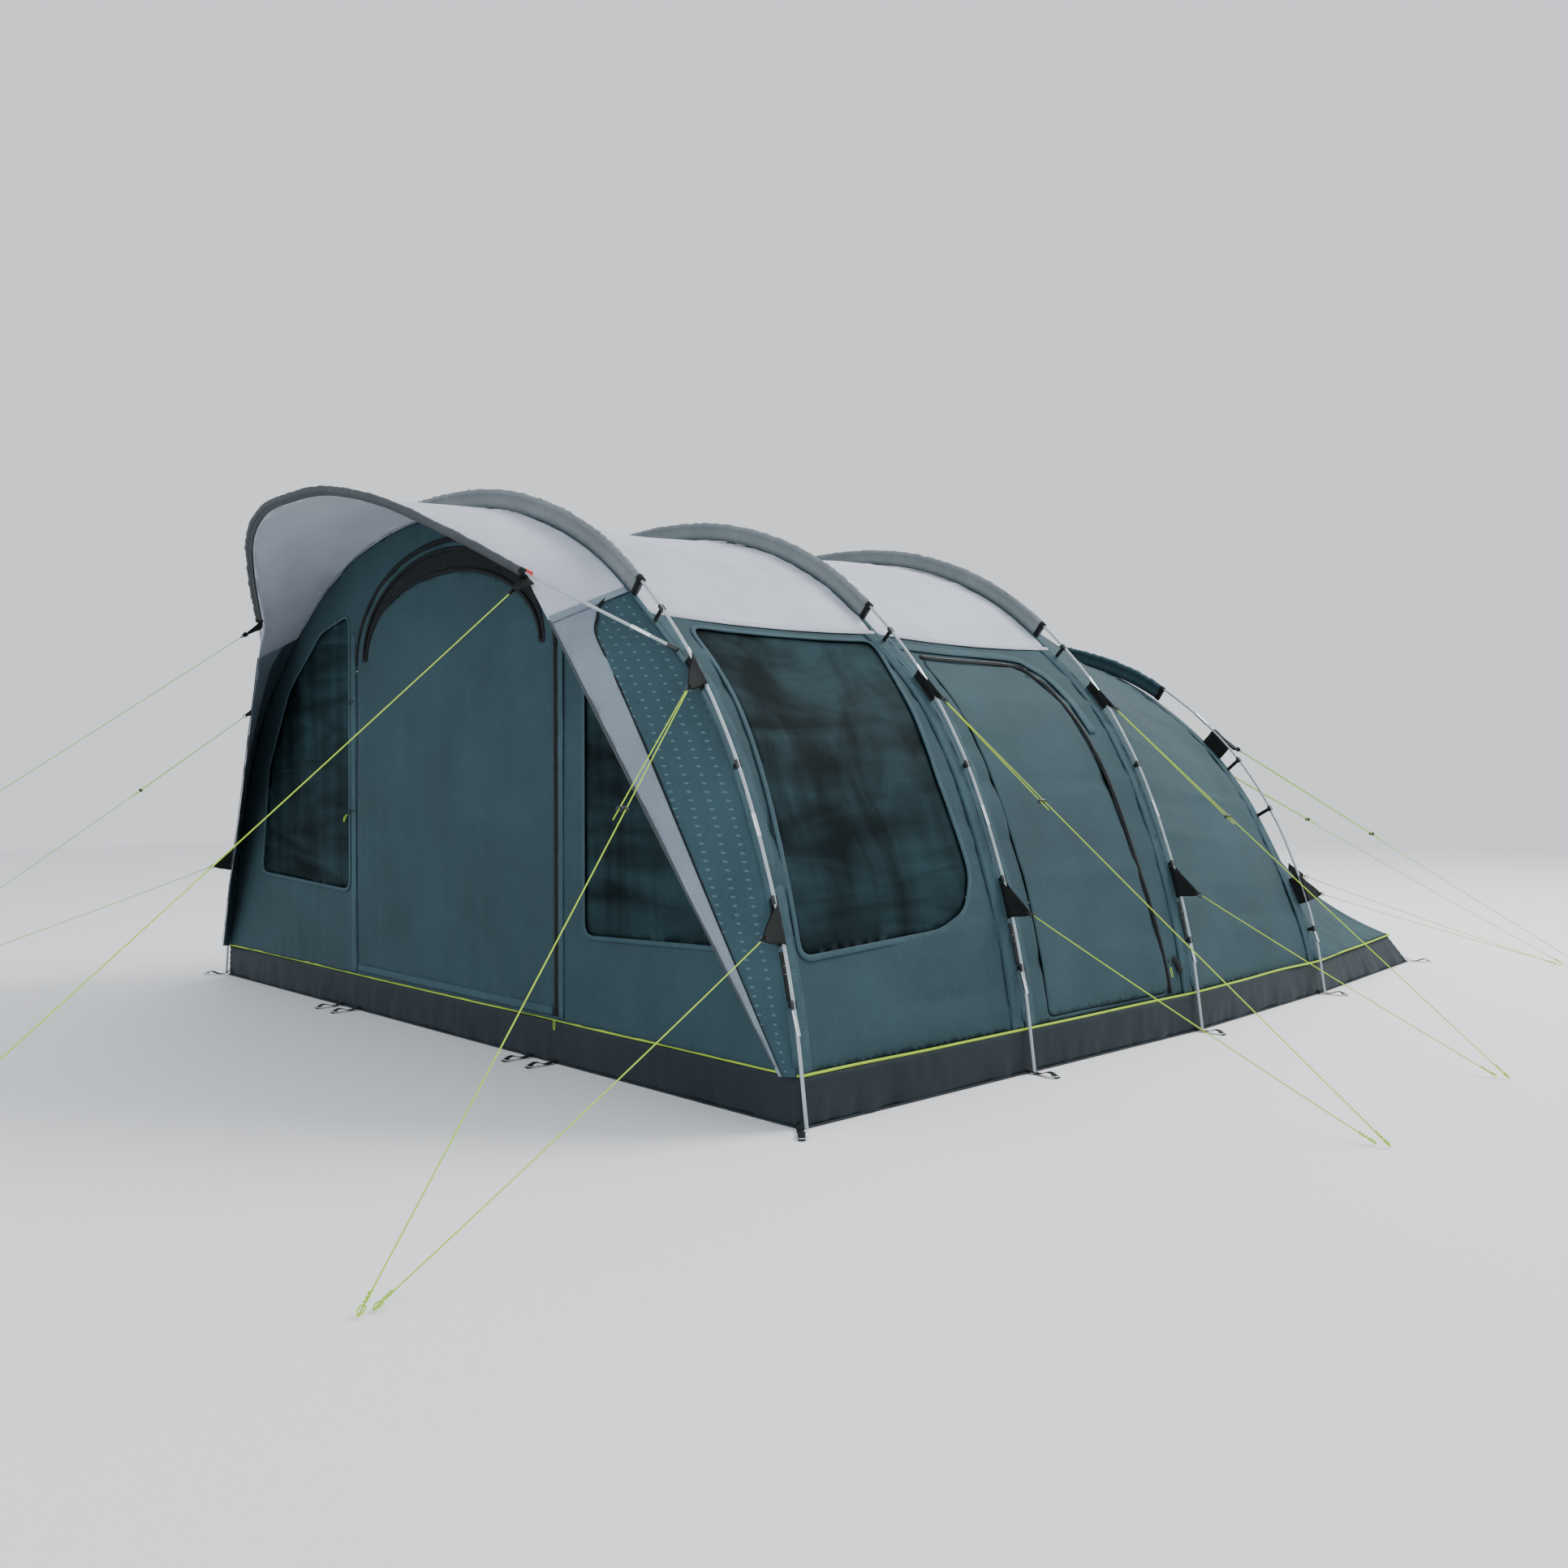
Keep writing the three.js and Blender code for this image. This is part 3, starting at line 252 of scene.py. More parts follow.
mats = {
    "fly": wovenCloth("coated polyester, dark teal", "flysheet", "#273a40", "#2f474e"),
    "flyBand": wovenCloth("coated polyester, reinforced teal", "flysheet", "#2b3f46", "#3a545c",
                          strength=0.35),
    "flyDots": wovenCloth("coated polyester, teal with reflective dots", "flysheet", "#2b3f46", "#354f57",
                          dots={"pitch": 0.026, "radius": 0.0035, "share": 0.3, "colour": "#6f8c93"}),
    "roof": wovenCloth("coated polyester, pale grey", "roof_cloth", "#a9aeb9", "#bdc2cd", strength=0.2),
    "hem": wovenCloth("coated polyester, mid grey", "roof_cloth", "#6c7882", "#808c97"),
    "sleeve": wovenCloth("woven polyester sleeve, grey", "pole_sleeve", "#656c6e", "#7d8486", strength=0.4),
    "flySleeve": wovenCloth("woven polyester sleeve, teal", "flysheet", "#2a3e45", "#38525a", strength=0.4),
    "porchHem": wovenCloth("woven polyester, charcoal", "porch_hem", "#3c4043", "#4c5154", strength=0.4),
    "skirt": wovenCloth("coated skirt cloth, charcoal", "skirt_cloth", "#172025", "#1f2a30", roughness=0.6),
    "floor": wovenCloth("woven polyethylene groundsheet", "groundsheet", "#222c31", "#36424a", roughness=0.5),
    "inner": wovenCloth("breathable polyester inner", "inner_cloth", "#a9a69c", "#c4c1b8"),
    "mesh": wovenCloth("knitted insect mesh, black", "vent_mesh", "#0d1113", "#161c1f", weave=0.006,
                       strength=0.5),
    "piping": wovenCloth("corded piping, lime", "guyline", "#93b52a", "#aece45", weave=0.003, strength=0.4),
    "tag": wovenCloth("woven tag, red", "fitting", "#c93c3c", "#e65252", weave=0.003),
    "zip": ribbedWebbing("zip tape, black", "fitting", "#0b0e0f", "#14191b"),
    "strap": ribbedWebbing("polypropylene webbing, black", "fitting", "#0a0c0d", "#121617"),
    "cord": ribbedWebbing("braided polyester cord, lime", "guyline", "#9fc41f", "#b9dc3d", rib=0.004),
    "film": tintedFilm("tinted PVC window film", "window_film"),
    # Drawn glass-fibre rod: smooth, grey, slightly glossy resin.
    "pole": plainSurface("drawn glass-fibre rod, grey", "pole", "#8f9a9f", "#a9b4b9", strength=0.05,
                         settings={"Roughness": 0.35, "Coat Weight": 0.3, "Coat Roughness": 0.2}),
    # Drawn steel ferrule: bright, fine drawing lines blur its highlight.
    "ferrule": plainSurface("drawn steel ferrule", "pole", "#c9d0d3", "#e3e8ea", strength=0.08,
                            settings={"Roughness": 0.28, "Metallic": 1.0}),
    # Injection-moulded acetal: satin black with the fine texture of the tool.
    "moulded": plainSurface("moulded acetal, black", "fitting", "#14181a", "#1f2527", strength=0.2,
                            settings={"Roughness": 0.42}),
}
print("stage: materials", len(mats))

# ---- curves of the hoops


def distances(points):
    # how far along a line each of its points lies
    return np.concatenate([[0], np.cumsum(np.linalg.norm(np.diff(points, axis=0), axis=1))])


def archTable(profile, halfWidth, height, perSpan=80):
    # a centripetal spline through the profile, then its points at even shares of its length
    right = [np.array([x * halfWidth, z * height]) for x, z in profile]
    points = right + [np.array([-p[0], p[1]]) for p in reversed(right[:-1])]
    padded = [2 * points[0] - points[1]] + points + [2 * points[-1] - points[-2]]
    samples = []
    for i in range(1, len(padded) - 2):
        p0, p1, p2, p3 = padded[i - 1:i + 3]
        d0, d1, d2 = (max(np.linalg.norm(b - a) ** 0.5, 1e-4) for a, b in ((p0, p1), (p1, p2), (p2, p3)))
        m1 = ((p1 - p0) / d0 - (p2 - p0) / (d0 + d1) + (p2 - p1) / d1) * d1
        m2 = ((p2 - p1) / d1 - (p3 - p1) / (d1 + d2) + (p3 - p2) / d2) * d1
        t = np.linspace(0, 1, perSpan, endpoint=False)[:, None]
        samples.append(p1 + m1 * t + (3 * (p2 - p1) - 2 * m1 - m2) * t ** 2 + (2 * (p1 - p2) + m1 + m2)
                       * t ** 3)
    line = np.vstack(samples + [points[-1][None]])
    gone = distances(line)
    return {"line": line, "share": gone / gone[-1], "length": gone[-1]}


def archAt(arch, u):
    # place and direction of an arch in its own plane: x, z, and the unit tangent
    u = np.clip(np.asarray(u, float), 0, 1)
    step = 1e-4
    low, high = np.clip(u - step, 0, 1), np.clip(u + step, 0, 1)
    get = lambda w, k: np.interp(w, arch["share"], arch["line"][:, k])
    dx, dz = get(high, 0) - get(low, 0), get(high, 1) - get(low, 1)
    size = np.hypot(dx, dz)
    return get(u, 0), get(u, 1), dx / size, dz / size


def shareAtHeight(arch, z):
    half = arch["share"] <= 0.5
    return np.interp(z, arch["line"][half, 1], arch["share"][half])


fullArch = archTable(fullProfile, tent["fullHalfWidth"], tent["fullHeight"])
tailArch = archTable(fullProfile, tent["tailHalfWidth"], tent["tailHeight"])
porchArch = archTable(porchProfile, porchHoop["halfWidth"], porchHoop["rise"])
arches = {"front": fullArch, "middle": fullArch, "rear": fullArch, "tail": tailArch}


def smooth(low, high, value):
    t = np.clip((np.asarray(value, float) - low) / (high - low), 0, 1)
    return t * t * (3 - 2 * t)


def rise(u):
    return 2 * np.minimum(u, 1 - np.asarray(u, float))


def insetOf(name, u):
    w = rise(u)
    if name != "tail":
        return tent["legInset"] + (tent["roofInset"] - tent["legInset"]) * smooth(0.38, 0.56, w)
    leg = tent["tailLegInset"] + (tent["tailBayInset"] - tent["tailLegInset"]) * smooth(0.05, 0.3, w)
    return leg - (tent["tailBayInset"] - tent["roofInset"]) * smooth(0.55, 0.75, w)


def hoopPoint(name, u, inset=0.0, lift=0.0):
    x, z, tx, tz = archAt(arches[name], u)
    reach = inset - lift
    return np.stack([x - tz * reach, np.full_like(x, hoopY[name]), z + tx * reach], -1)


def flyPoint(name, u):
    return hoopPoint(name, u, insetOf(name, u))


def baySurface(first, second):
    def surface(u, v):
        a, b = flyPoint(first, u), flyPoint(second, u)
        a[..., 1] += 0.001
        b[..., 1] -= 0.001
        v = np.asarray(v, float)
        sag = tent["wallSag"] + (tent["roofSag"] - tent["wallSag"]) * smooth(0.4, 0.8, rise(u))
        depth = 4 * v * (1 - v) * sag
        _, _, tx, tz = archAt(arches[first], u)
        p = a + (b - a) * v[..., None]
        p[..., 0] -= tz * depth
        p[..., 2] += tx * depth
        return p
    return surface


def leanForward(x, z):
    lean = porchHoop["lean"]
    return np.stack([x, frontY - porchHoop["footGap"] - z * math.sin(lean),
                     porchHoop["footZ"] + z * math.cos(lean)], -1)


def porchEdge(u):
    w = rise(u)
    side = np.where(np.asarray(u) < 0.5, 1.0, -1.0)
    along = np.clip((w - porchHoop["edgeAt"]) / (1 - porchHoop["edgeAt"]), 0, 1)
    share = porchHoop["sleeveFrom"] + (1 - porchHoop["sleeveFrom"]) * along
    x, z, tx, tz = archAt(porchArch, share / 2)
    over = leanForward(x - tz * tent["legInset"], z + tx * tent["legInset"])
    x0, z0, tx0, tz0 = archAt(porchArch, porchHoop["sleeveFrom"] / 2)
    end = leanForward(x0 - tz0 * tent["legInset"], z0 + tx0 * tent["legInset"])
    foot = np.array([tent["fullHalfWidth"] - 0.07, frontY - 0.046, tent["footZ"] + 0.003])
    up = foot + (end - foot) * np.clip(w / porchHoop["edgeAt"], 0, 1)[..., None]
    p = np.where((w < porchHoop["edgeAt"])[..., None], up, over)
    p[..., 0] *= side
    return p


footShare = float(shareAtHeight(fullArch, tent["footZ"]))
tailFootShare = float(shareAtHeight(tailArch, tent["footZ"]))
hemShare = float(shareAtHeight(fullArch, tent["hemZ"]))


def porchSurface(u, v):
    a = flyPoint("front", footShare + (1 - 2 * footShare) * np.asarray(u, float))
    a[..., 1] -= 0.001
    return a + (porchEdge(u) - a) * np.asarray(v, float)[..., None]


corner = {"x": 1.82, "y": frontY + 4.772, "back": frontY + 4.8, "run": 0.12, "at": 0.42, "hollow": 0.15}


def tailSurface(u, v):
    u, v = np.asarray(u, float), np.asarray(v, float)
    w = rise(u)
    side = np.where(u < 0.5, 1.0, -1.0)
    a = flyPoint("tail", tailFootShare + (1 - 2 * tailFootShare) * u)
    a[..., 1] += 0.001
    z = tent["footZ"] + 0.003
    start = np.array([tent["tailHalfWidth"] - tent["tailLegInset"], hoopY["tail"] + 0.04, z])
    turn = np.array([corner["x"] - corner["run"] / 2, corner["y"] - corner["run"], z])
    middle = np.array([0, corner["back"] - corner["run"], z])
    first = start + (turn - start) * np.clip(w / corner["at"], 0, 1)[..., None]
    second = turn + (middle - turn) * np.clip((w - corner["at"]) / (1 - corner["at"]), 0, 1)[..., None]
    b = np.where((w < corner["at"])[..., None], first, second)
    b[..., 0] *= side
    p = a + (b - a) * v[..., None]
    nearTop = smooth(0.6, 1, w)
    hollow = 4 * v * (1 - v) * corner["hollow"] * smooth(0, 0.4, w) * (1 - 0.4 * nearTop)
    p[..., 0] -= side * hollow * 0.5 * (1 - nearTop)
    p[..., 1] -= hollow * 0.6
    p[..., 2] -= hollow * 0.5
    return p


def frontSurface(u, v):
    u, v = np.asarray(u, float), np.asarray(v, float)
    return np.stack([u, np.full_like(u, frontY), v], -1)


# ---- small mesh tools


def noise(a, b, seed=0):
    # smooth noise from -1 to 1, the same every run
    a, b = np.asarray(a, float), np.asarray(b, float)
    ia, ib = np.floor(a), np.floor(b)
    fa, fb = a - ia, b - ib
    sa, sb = fa * fa * (3 - 2 * fa), fb * fb * (3 - 2 * fb)

    def lattice(i, j):
        h = np.sin(i * 127.1 + j * 311.7 + seed * 74.7) * 43758.5453
        return (h - np.floor(h)) * 2 - 1
    low = lattice(ia, ib) * (1 - sa) + lattice(ia + 1, ib) * sa
    high = lattice(ia, ib + 1) * (1 - sa) + lattice(ia + 1, ib + 1) * sa
    return low * (1 - sb) + high * sb


def normalOf(surface, u, v):
    step = 2e-3
    along = surface(u + step, v) - surface(u - step, v)
    across = surface(u, v + step) - surface(u, v - step)
    n = np.cross(along, across)
    return n / np.maximum(np.linalg.norm(n, axis=-1, keepdims=True), 1e-12)


def link(name, mesh, material):
    obj = bpy.data.objects.new(name, mesh)
    scene.collection.objects.link(obj)
    mesh.materials.append(material)
    return obj


def thicken(obj, thickness, offset=0):
    solid = obj.modifiers.new("thickness", "SOLIDIFY")
    solid.thickness = thickness
    solid.offset = offset


def gridFaces(rows, columns):
    return [(i * columns + j, i * columns + j + 1, (i + 1) * columns + j + 1, (i + 1) * columns + j)
            for i in range(rows - 1) for j in range(columns - 1)]


def circleOf(centre, first, second, radius, count):
    angles = np.linspace(0, 2 * math.pi, count, endpoint=False)
    return [centre + (first * math.cos(a) + second * math.sin(a)) * radius for a in angles]


def laidOn(surface, size, points, inside):
    # places on a cloth, the direction straight out of the tent there, and whether that turned the normals
    # round
    u, v = points[:, 0] / size[0], points[:, 1] / size[1]
    place, normal = surface(u, v), normalOf(surface, u, v)
    outward = np.sign(np.mean(np.sum(normal * (place - np.array(inside)), -1))) or 1.0
    return place, normal * outward, outward


def meshFrom(name, points, faces, uvs=None, material=None):
    mesh = bpy.data.meshes.new(name)
    mesh.from_pydata([tuple(p) for p in points], [], [tuple(f) for f in faces])
    if uvs is not None:
        layer = mesh.uv_layers.new(name="UVMap")
        loops = np.zeros(len(mesh.loops), np.int32)
        mesh.loops.foreach_get("vertex_index", loops)
        layer.data.foreach_set("uv", np.asarray(uvs, np.float32)[loops].ravel())
    mesh.polygons.foreach_set("use_smooth", [True] * len(mesh.polygons))
    mesh.update()
    return link(name, mesh, material)


def inPolygon(points, outline):
    x, y = points[:, 0], points[:, 1]
    inside = np.zeros(len(points), bool)
    for (x0, y0), (x1, y1) in zip(outline, np.roll(outline, -1, axis=0)):
        crosses = (y0 > y) != (y1 > y)
        inside ^= crosses & (x < (x1 - x0) * (y - y0) / ((y1 - y0) if y1 != y0 else 1e-12) + x0)
    return inside


def resampled(outline, spacing, closed=True):
    points = np.asarray(outline, float)
    ends = np.roll(points, -1, axis=0) if closed else points[1:]
    result = []
    for a, b in zip(points, ends):
        count = max(1, int(round(np.linalg.norm(b - a) / spacing)))
        result += [a + (b - a) * i / count for i in range(count)]
    if not closed:
        result.append(points[-1])
    return np.array(result)


def flatTriangles(outline, holes, spacing):
    # fills an outline with even triangles that follow its edge and leave its holes out
    rings = [resampled(outline, spacing)] + [resampled(h, spacing) for h in holes]
    edges, count = [], 0
    for ring in rings:
        edges += [(count + i, count + (i + 1) % len(ring)) for i in range(len(ring))]
        count += len(ring)
    low, high = rings[0].min(0), rings[0].max(0)
    rows = int((high[1] - low[1]) / (spacing * 0.866)) + 1
    grid = []
    for j in range(rows):
        xs = np.arange(low[0] + (spacing / 2 if j % 2 else 0), high[0], spacing)
        grid.append(np.stack([xs, np.full_like(xs, low[1] + j * spacing * 0.866)], -1))
    grid = np.vstack(grid)
    keep = inPolygon(grid, rings[0])
    for ring in rings[1:]:
        keep &= ~inPolygon(grid, ring)
    grid = grid[keep]
    edge = np.vstack(rings)
    for start in range(0, len(grid), 4000):
        chunk = grid[start:start + 4000]
        near = np.full(len(chunk), 1e9)
        for part in np.array_split(edge, max(1, len(edge) // 500)):
            near = np.minimum(near, ((chunk[:, None] - part[None]) ** 2).sum(-1).min(1))
        chunk[near < (0.55 * spacing) ** 2] = np.nan
    grid = grid[~np.isnan(grid[:, 0])]
    allPoints = np.vstack([edge, grid])
    made = delaunay_2d_cdt([Vector(p) for p in allPoints], edges, [], 0, 1e-6)
    points = np.array([tuple(p) for p in made[0]])
    faces = np.array([f for f in made[2] if len(f) == 3])
    centre = points[faces].mean(1)
    keep = inPolygon(centre, rings[0])
    for ring in rings[1:]:
        keep &= ~inPolygon(centre, ring)
    return points, faces[keep]


clothThickness = 0.0018
tapeThickness = 0.0016
groundClearance = 0.0024
leastShare = 0.3005  # of width by length, for a wall that is mostly openings
tentMiddle = (0, 0.2, 0.5)


def clothPanel(name, surface, size, outline, material, holes=(), spacing=0.018, relief=None, lift=0.0,
               inside=tentMiddle, poles=(), held="stretched", replaces=(), body="tent", slot="flysheet",
               uvFrom=None):
    # outline and holes are in metres along the cloth; size turns them into the surface's own shares
    points, faces = flatTriangles(outline, holes, spacing)
    place, normal, outward = laidOn(surface, size, points, inside)
    place = place + normal * lift
    if relief is not None:
        place = place + normal * relief(points[:, 0], points[:, 1])[:, None]
    place[:, 2] = np.maximum(place[:, 2], groundClearance)
    if outward < 0:
        faces = faces[:, ::-1]
    obj = meshFrom(name, place, faces, points if uvFrom is None else uvFrom(place), material)
    thicken(obj, clothThickness, -1)
    finish(obj, body, slot, replaces)
    corners = place[faces]
    area = 0.5 * np.linalg.norm(np.cross(corners[:, 1] - corners[:, 0], corners[:, 2] - corners[:, 0]),
                                axis=1).sum()
    width, length = np.ptp(points[:, 0]), np.ptp(points[:, 1])
    # sag makes the cut a little larger than its outline
    area = max(area, leastShare * width * length)
    list(poles)
    return obj


def finish(obj, body, slot=None, replaces=()):
    if body:
        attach(obj, body)
    if replaces:
        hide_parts(*replaces)
    return obj


def join(objects, name):
    objects[0].name = name
    objects[0].data.name = name
    with bpy.context.temp_override(active_object=objects[0], selected_objects=objects,
                                   selected_editable_objects=objects):
        bpy.ops.object.join()
    return objects[0]


def sweep(points, section, closedPath=False, up=(0, 0, 1)):
    # carries a flat section along a path; the section's first axis lies across up
    path = np.asarray(points, float)
    count, wide = len(path), len(section)
    ahead = np.roll(path, -1, 0) if closedPath else np.vstack([path[1:], path[-1:]])
    behind = np.roll(path, 1, 0) if closedPath else np.vstack([path[:1], path[:-1]])
    tangent = ahead - behind
    tangent /= np.linalg.norm(tangent, axis=1, keepdims=True)
    ups = np.asarray(up, float)
    ups = np.broadcast_to(ups, (count, 3)) if ups.ndim == 1 else ups
    sideways = np.cross(tangent, ups)
    sideways /= np.maximum(np.linalg.norm(sideways, axis=1, keepdims=True), 1e-9)
    lift = np.cross(sideways, tangent)
    section = np.asarray(section, float)
    section = np.broadcast_to(section, (count, wide, 2)) if section.ndim == 2 else section
    verts = path[:, None] + sideways[:, None] * section[:, :, :1] + lift[:, None] * section[:, :, 1:]
    uvs = np.stack(np.broadcast_arrays(distances(path)[:, None], distances(section[0])[None]), -1)
    faces = []
    for i in range(count if closedPath else count - 1):
        for j in range(wide):
            a, b = i * wide + j, i * wide + (j + 1) % wide
            c, d = ((i + 1) % count) * wide + (j + 1) % wide, ((i + 1) % count) * wide + j
            faces.append((a, b, c, d))
    if not closedPath:
        faces.append(tuple(range(wide - 1, -1, -1)))
        faces.append(tuple((count - 1) * wide + j for j in range(wide)))
    return verts.reshape(-1, 3), faces, uvs.reshape(-1, 2)


def circleSection(radius, sides=10):
    angle = -np.arange(sides) / sides * 2 * math.pi
    return np.stack([radius * np.cos(angle), radius * np.sin(angle)], -1)


def flatSection(width, thick, bow=0.0):
    # a tape's section: wide and thin with round edges, the middle bowed up a little
    across = np.linspace(-0.5, 0.5, 7)
    top = np.stack([across * width, thick / 2 + bow * (1 - (2 * across) ** 2)], -1)
    bottom = np.stack([across[::-1] * width, -thick / 2 + bow * (1 - (2 * across[::-1]) ** 2)], -1)
    return np.vstack([top, bottom])


def tube(name, points, radius, material, sides=10, up=(0, 0, 1), closed=False):
    return swept(name, points, circleSection(radius, sides), material, up, closed)


def swept(name, points, section, material, up=(0, 0, 1), closed=False):
    verts, faces, uvs = sweep(points, section, closed, up)
    return meshFrom(name, verts, faces, uvs, material)


def curveThrough(points, count):
    # a smooth line through a few points
    points = np.asarray(points, float)
    t = np.linspace(0, len(points) - 1, count)
    padded = np.vstack([2 * points[0] - points[1], points, 2 * points[-1] - points[-2]])
    i = np.clip(t.astype(int), 0, len(points) - 2)
    f = (t - i)[:, None]
    p0, p1, p2, p3 = (padded[i + k] for k in range(4))
    return 0.5 * (2 * p1 + (p2 - p0) * f + (2 * p0 - 5 * p1 + 4 * p2 - p3) * f ** 2
                  + (3 * p1 - p0 - 3 * p2 + p3) * f ** 3)

# ---- guylines: taut cords from their patches to the ground just outside the view

guy = {"radius": 0.00175, "sag": 0.006, "runnerSpread": 0.022, "patchReach": 0.105, "backReach": 0.09,
       "porchReach": 0.095, "tipGap": 0.014, "pairGap": 0.04, "endZ": 0.006,
       "upperZ": 1.355, "lowerZ": 0.59, "tailUpperZ": 1.18, "tailLowerZ": 0.48}
pegs = {"front": (2.478, -1.58), "middle": (3.324, 1.04), "rear": (3.237, 2.172), "tail": (2.62, 5.07),
        "back": (2.44, 5.23), "porch": (1.7, -2.5)}
runnerShare = {"front": 0.27, "middle": 0.27, "rear": 0.33, "tail": 0.36, "back": 0.3}


def unit(v):
    v = np.asarray(v, float)
    return v / np.linalg.norm(v)


def pegOf(name, side):
    x, y = pegs[name]
    return np.array([side * x, frontY + y, guy["endZ"]])


def spotAt(arch, z):
    # an arch's share at a height, and its place and direction there, as plain numbers
    u = float(shareAtHeight(arch, z))
    return [u] + [float(k) for k in archAt(arch, u)]


def guyPoint(name, z, side):
    u, x, zz, tx, tz = spotAt(arches[name], z)
    pole = np.array([side * x, hoopY[name], zz])
    tangent = np.array([side * tx, 0, tz])
    pull = unit(pegOf(name, side) - pole)
    return {"pole": pole, "tangent": tangent, "pull": pull, "tip": pole + pull * guy["patchReach"],
            "inwards": np.array([-side * tz, 0, tx]), "toCloth": float(insetOf(name, u))}


def backPoint(place, side):
    root = tailSurface(np.array(place[0] if side > 0 else 1 - place[0]), np.array(place[1]))
    pull = unit(pegOf("back", side) - root)
    return {"root": root, "pull": pull, "tip": root + pull * guy["backReach"]}


def porchPoint(side):
    end = porchEdge(np.array(porchHoop["edgeAt"] / 2 if side > 0 else 1 - porchHoop["edgeAt"] / 2))
    pull = unit(pegOf("porch", side) - end)
    return {"root": end, "pull": pull, "tip": end + pull * guy["porchReach"]}


backPlaces = {"upper": (0.27, 0.12), "lower": (0.205, 0.55)}
lines = []


def addLine(name, point, peg, share=None, short=False):
    if short:
        back = point["tip"] - peg
        back[2] = 0
        peg = peg + unit(back) * guy["pairGap"]
    lines.append({"name": name, "start": point["tip"] + point["pull"] * guy["tipGap"], "end": peg,
                  "share": share})


for name, side in (("front", 1), ("front", -1), ("middle", 1), ("rear", 1), ("tail", 1)):
    label = name + "_" + sideName(side)
    heights = (guy["tailUpperZ"], guy["tailLowerZ"]) if name == "tail" else (guy["upperZ"], guy["lowerZ"])
    addLine(label + "_upper", guyPoint(name, heights[0], side), pegOf(name, side), runnerShare[name])
    addLine(label + "_lower", guyPoint(name, heights[1], side), pegOf(name, side), None, True)
addLine("back_right_upper", backPoint(backPlaces["upper"], 1), pegOf("back", 1), runnerShare["back"])
addLine("back_right_lower", backPoint(backPlaces["lower"], 1), pegOf("back", 1), None, True)
addLine("porch_right", porchPoint(1), pegOf("porch", 1))
addLine("porch_left", porchPoint(-1), pegOf("porch", -1))


def linePoints(line, count=24, upTo=1.0):
    # the part's own taut curve: a shallow sag between its two ends
    middle = (line["start"] + line["end"]) / 2 - np.array([0, 0, 2 * guy["sag"]])
    t = np.linspace(0, upTo, count)[:, None]
    return line["start"] * (1 - t) ** 2 + 2 * middle * t * (1 - t) + line["end"] * t ** 2


def loopKnot(name, at, pull, size=0.011):
    # a bowline's eye round the peg: a small loop and a wrapped knot in front of it
    side = unit(np.cross(pull, (0, 0, 1)))
    angle = np.linspace(0, 2 * math.pi, 20, endpoint=False)
    eye = [at - pull * size * (1 - math.cos(a)) + side * size * 0.7 * math.sin(a) for a in angle]
    ring = tube(name, eye, guy["radius"] * 0.9, mats["cord"], 8, closed=True)
    turns = np.linspace(0, 5 * math.pi, 44)
    up = np.cross(side, pull)
    knot = [at - pull * (0.026 + 0.0016 * a) + (side * math.cos(a) + up * math.sin(a)) * 0.0032
            for a in turns]
    wraps = tube(name + "_wraps", knot, 0.0016, mats["cord"], 7)
    return join([ring, wraps], name)


def makeGuylines():
    for line in lines:
        node = "guyline_" + line["name"]
        points = linePoints(line)
        cord = tube("cord_" + line["name"], points, guy["radius"], mats["cord"])
        pull = unit(line["start"] - line["end"])
        knot = loopKnot("knot_" + line["name"], line["end"] + pull * 0.004 + np.array([0, 0, 0.001]), -pull)
        finish(knot, "tent", "guyline")
        finish(cord, "tent", "guyline", [node])
        if line["share"] is None:
            continue
        side = unit(np.cross((line["end"] - line["start"]) * [1, 1, 0], (0, 0, 1)))
        at = linePoints(line, 200, line["share"] + 0.02)[-1] + side * guy["runnerSpread"]
        t = np.linspace(0, 1, 16)[:, None]
        strand = line["start"] + side * 0.0045 + (at - line["start"] - side * 0.0045) * t
        second = tube("return_" + line["name"], strand, guy["radius"], mats["cord"])
        body = "line_runner_" + line["name"].replace("_upper", "")
        tuple(strand[0])
        tuple(strand[-1])
        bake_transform(second)
        tuple(strand[0])
        makeRunner(line, side, body)


def makeRunner(line, side, body):
    # a moulded oval ring: a bead swept round a slot, with a bar between the two strands
    points = linePoints(line, 400)
    i = int(line["share"] * 399)
    ahead = unit(points[i + 1] - points[i - 1])
    centre = points[i] + side * guy["runnerSpread"] / 2
    up = unit(np.cross(side, ahead))
    half, bend = guy["runnerSpread"] / 2, 0.0062
    ring = [(half + bend * math.cos(a), bend * math.sin(a))
            for a in np.linspace(-math.pi / 2, math.pi / 2, 14)]
    ring += [(-half - bend * math.cos(a), -bend * math.sin(a))
             for a in np.linspace(-math.pi / 2, math.pi / 2, 14)]
    loop = [centre + side * a + up * b for a, b in ring]
    section = circleSection(0.0021, 10) * [1, 2.2]
    rim = swept("runner_ring_" + line["name"], loop, section, mats["moulded"], ahead, True)
    bar = tube("runner_bar", [centre - up * bend, centre + up * bend], 0.002, mats["moulded"], 8, up=side)
    piece = join([rim, bar], "runner_ring_" + line["name"])
    finish(piece, body, "fitting", ["runner_" + line["name"]])


makeGuylines()
print("stage: guylines", len(lines))

# ---- geometry node trees for what repeats along a path


def newTree(name, inputs):
    tree = bpy.data.node_groups.new(name, "GeometryNodeTree")
    tree.is_modifier = True
    tree.interface.new_socket("Geometry", in_out="INPUT", socket_type="NodeSocketGeometry")
    for label, kind in inputs:
        tree.interface.new_socket(label, in_out="INPUT", socket_type=kind)
    tree.interface.new_socket("Geometry", in_out="OUTPUT", socket_type="NodeSocketGeometry")
    return tree, tree.nodes.new("NodeGroupInput"), tree.nodes.new("NodeGroupOutput")


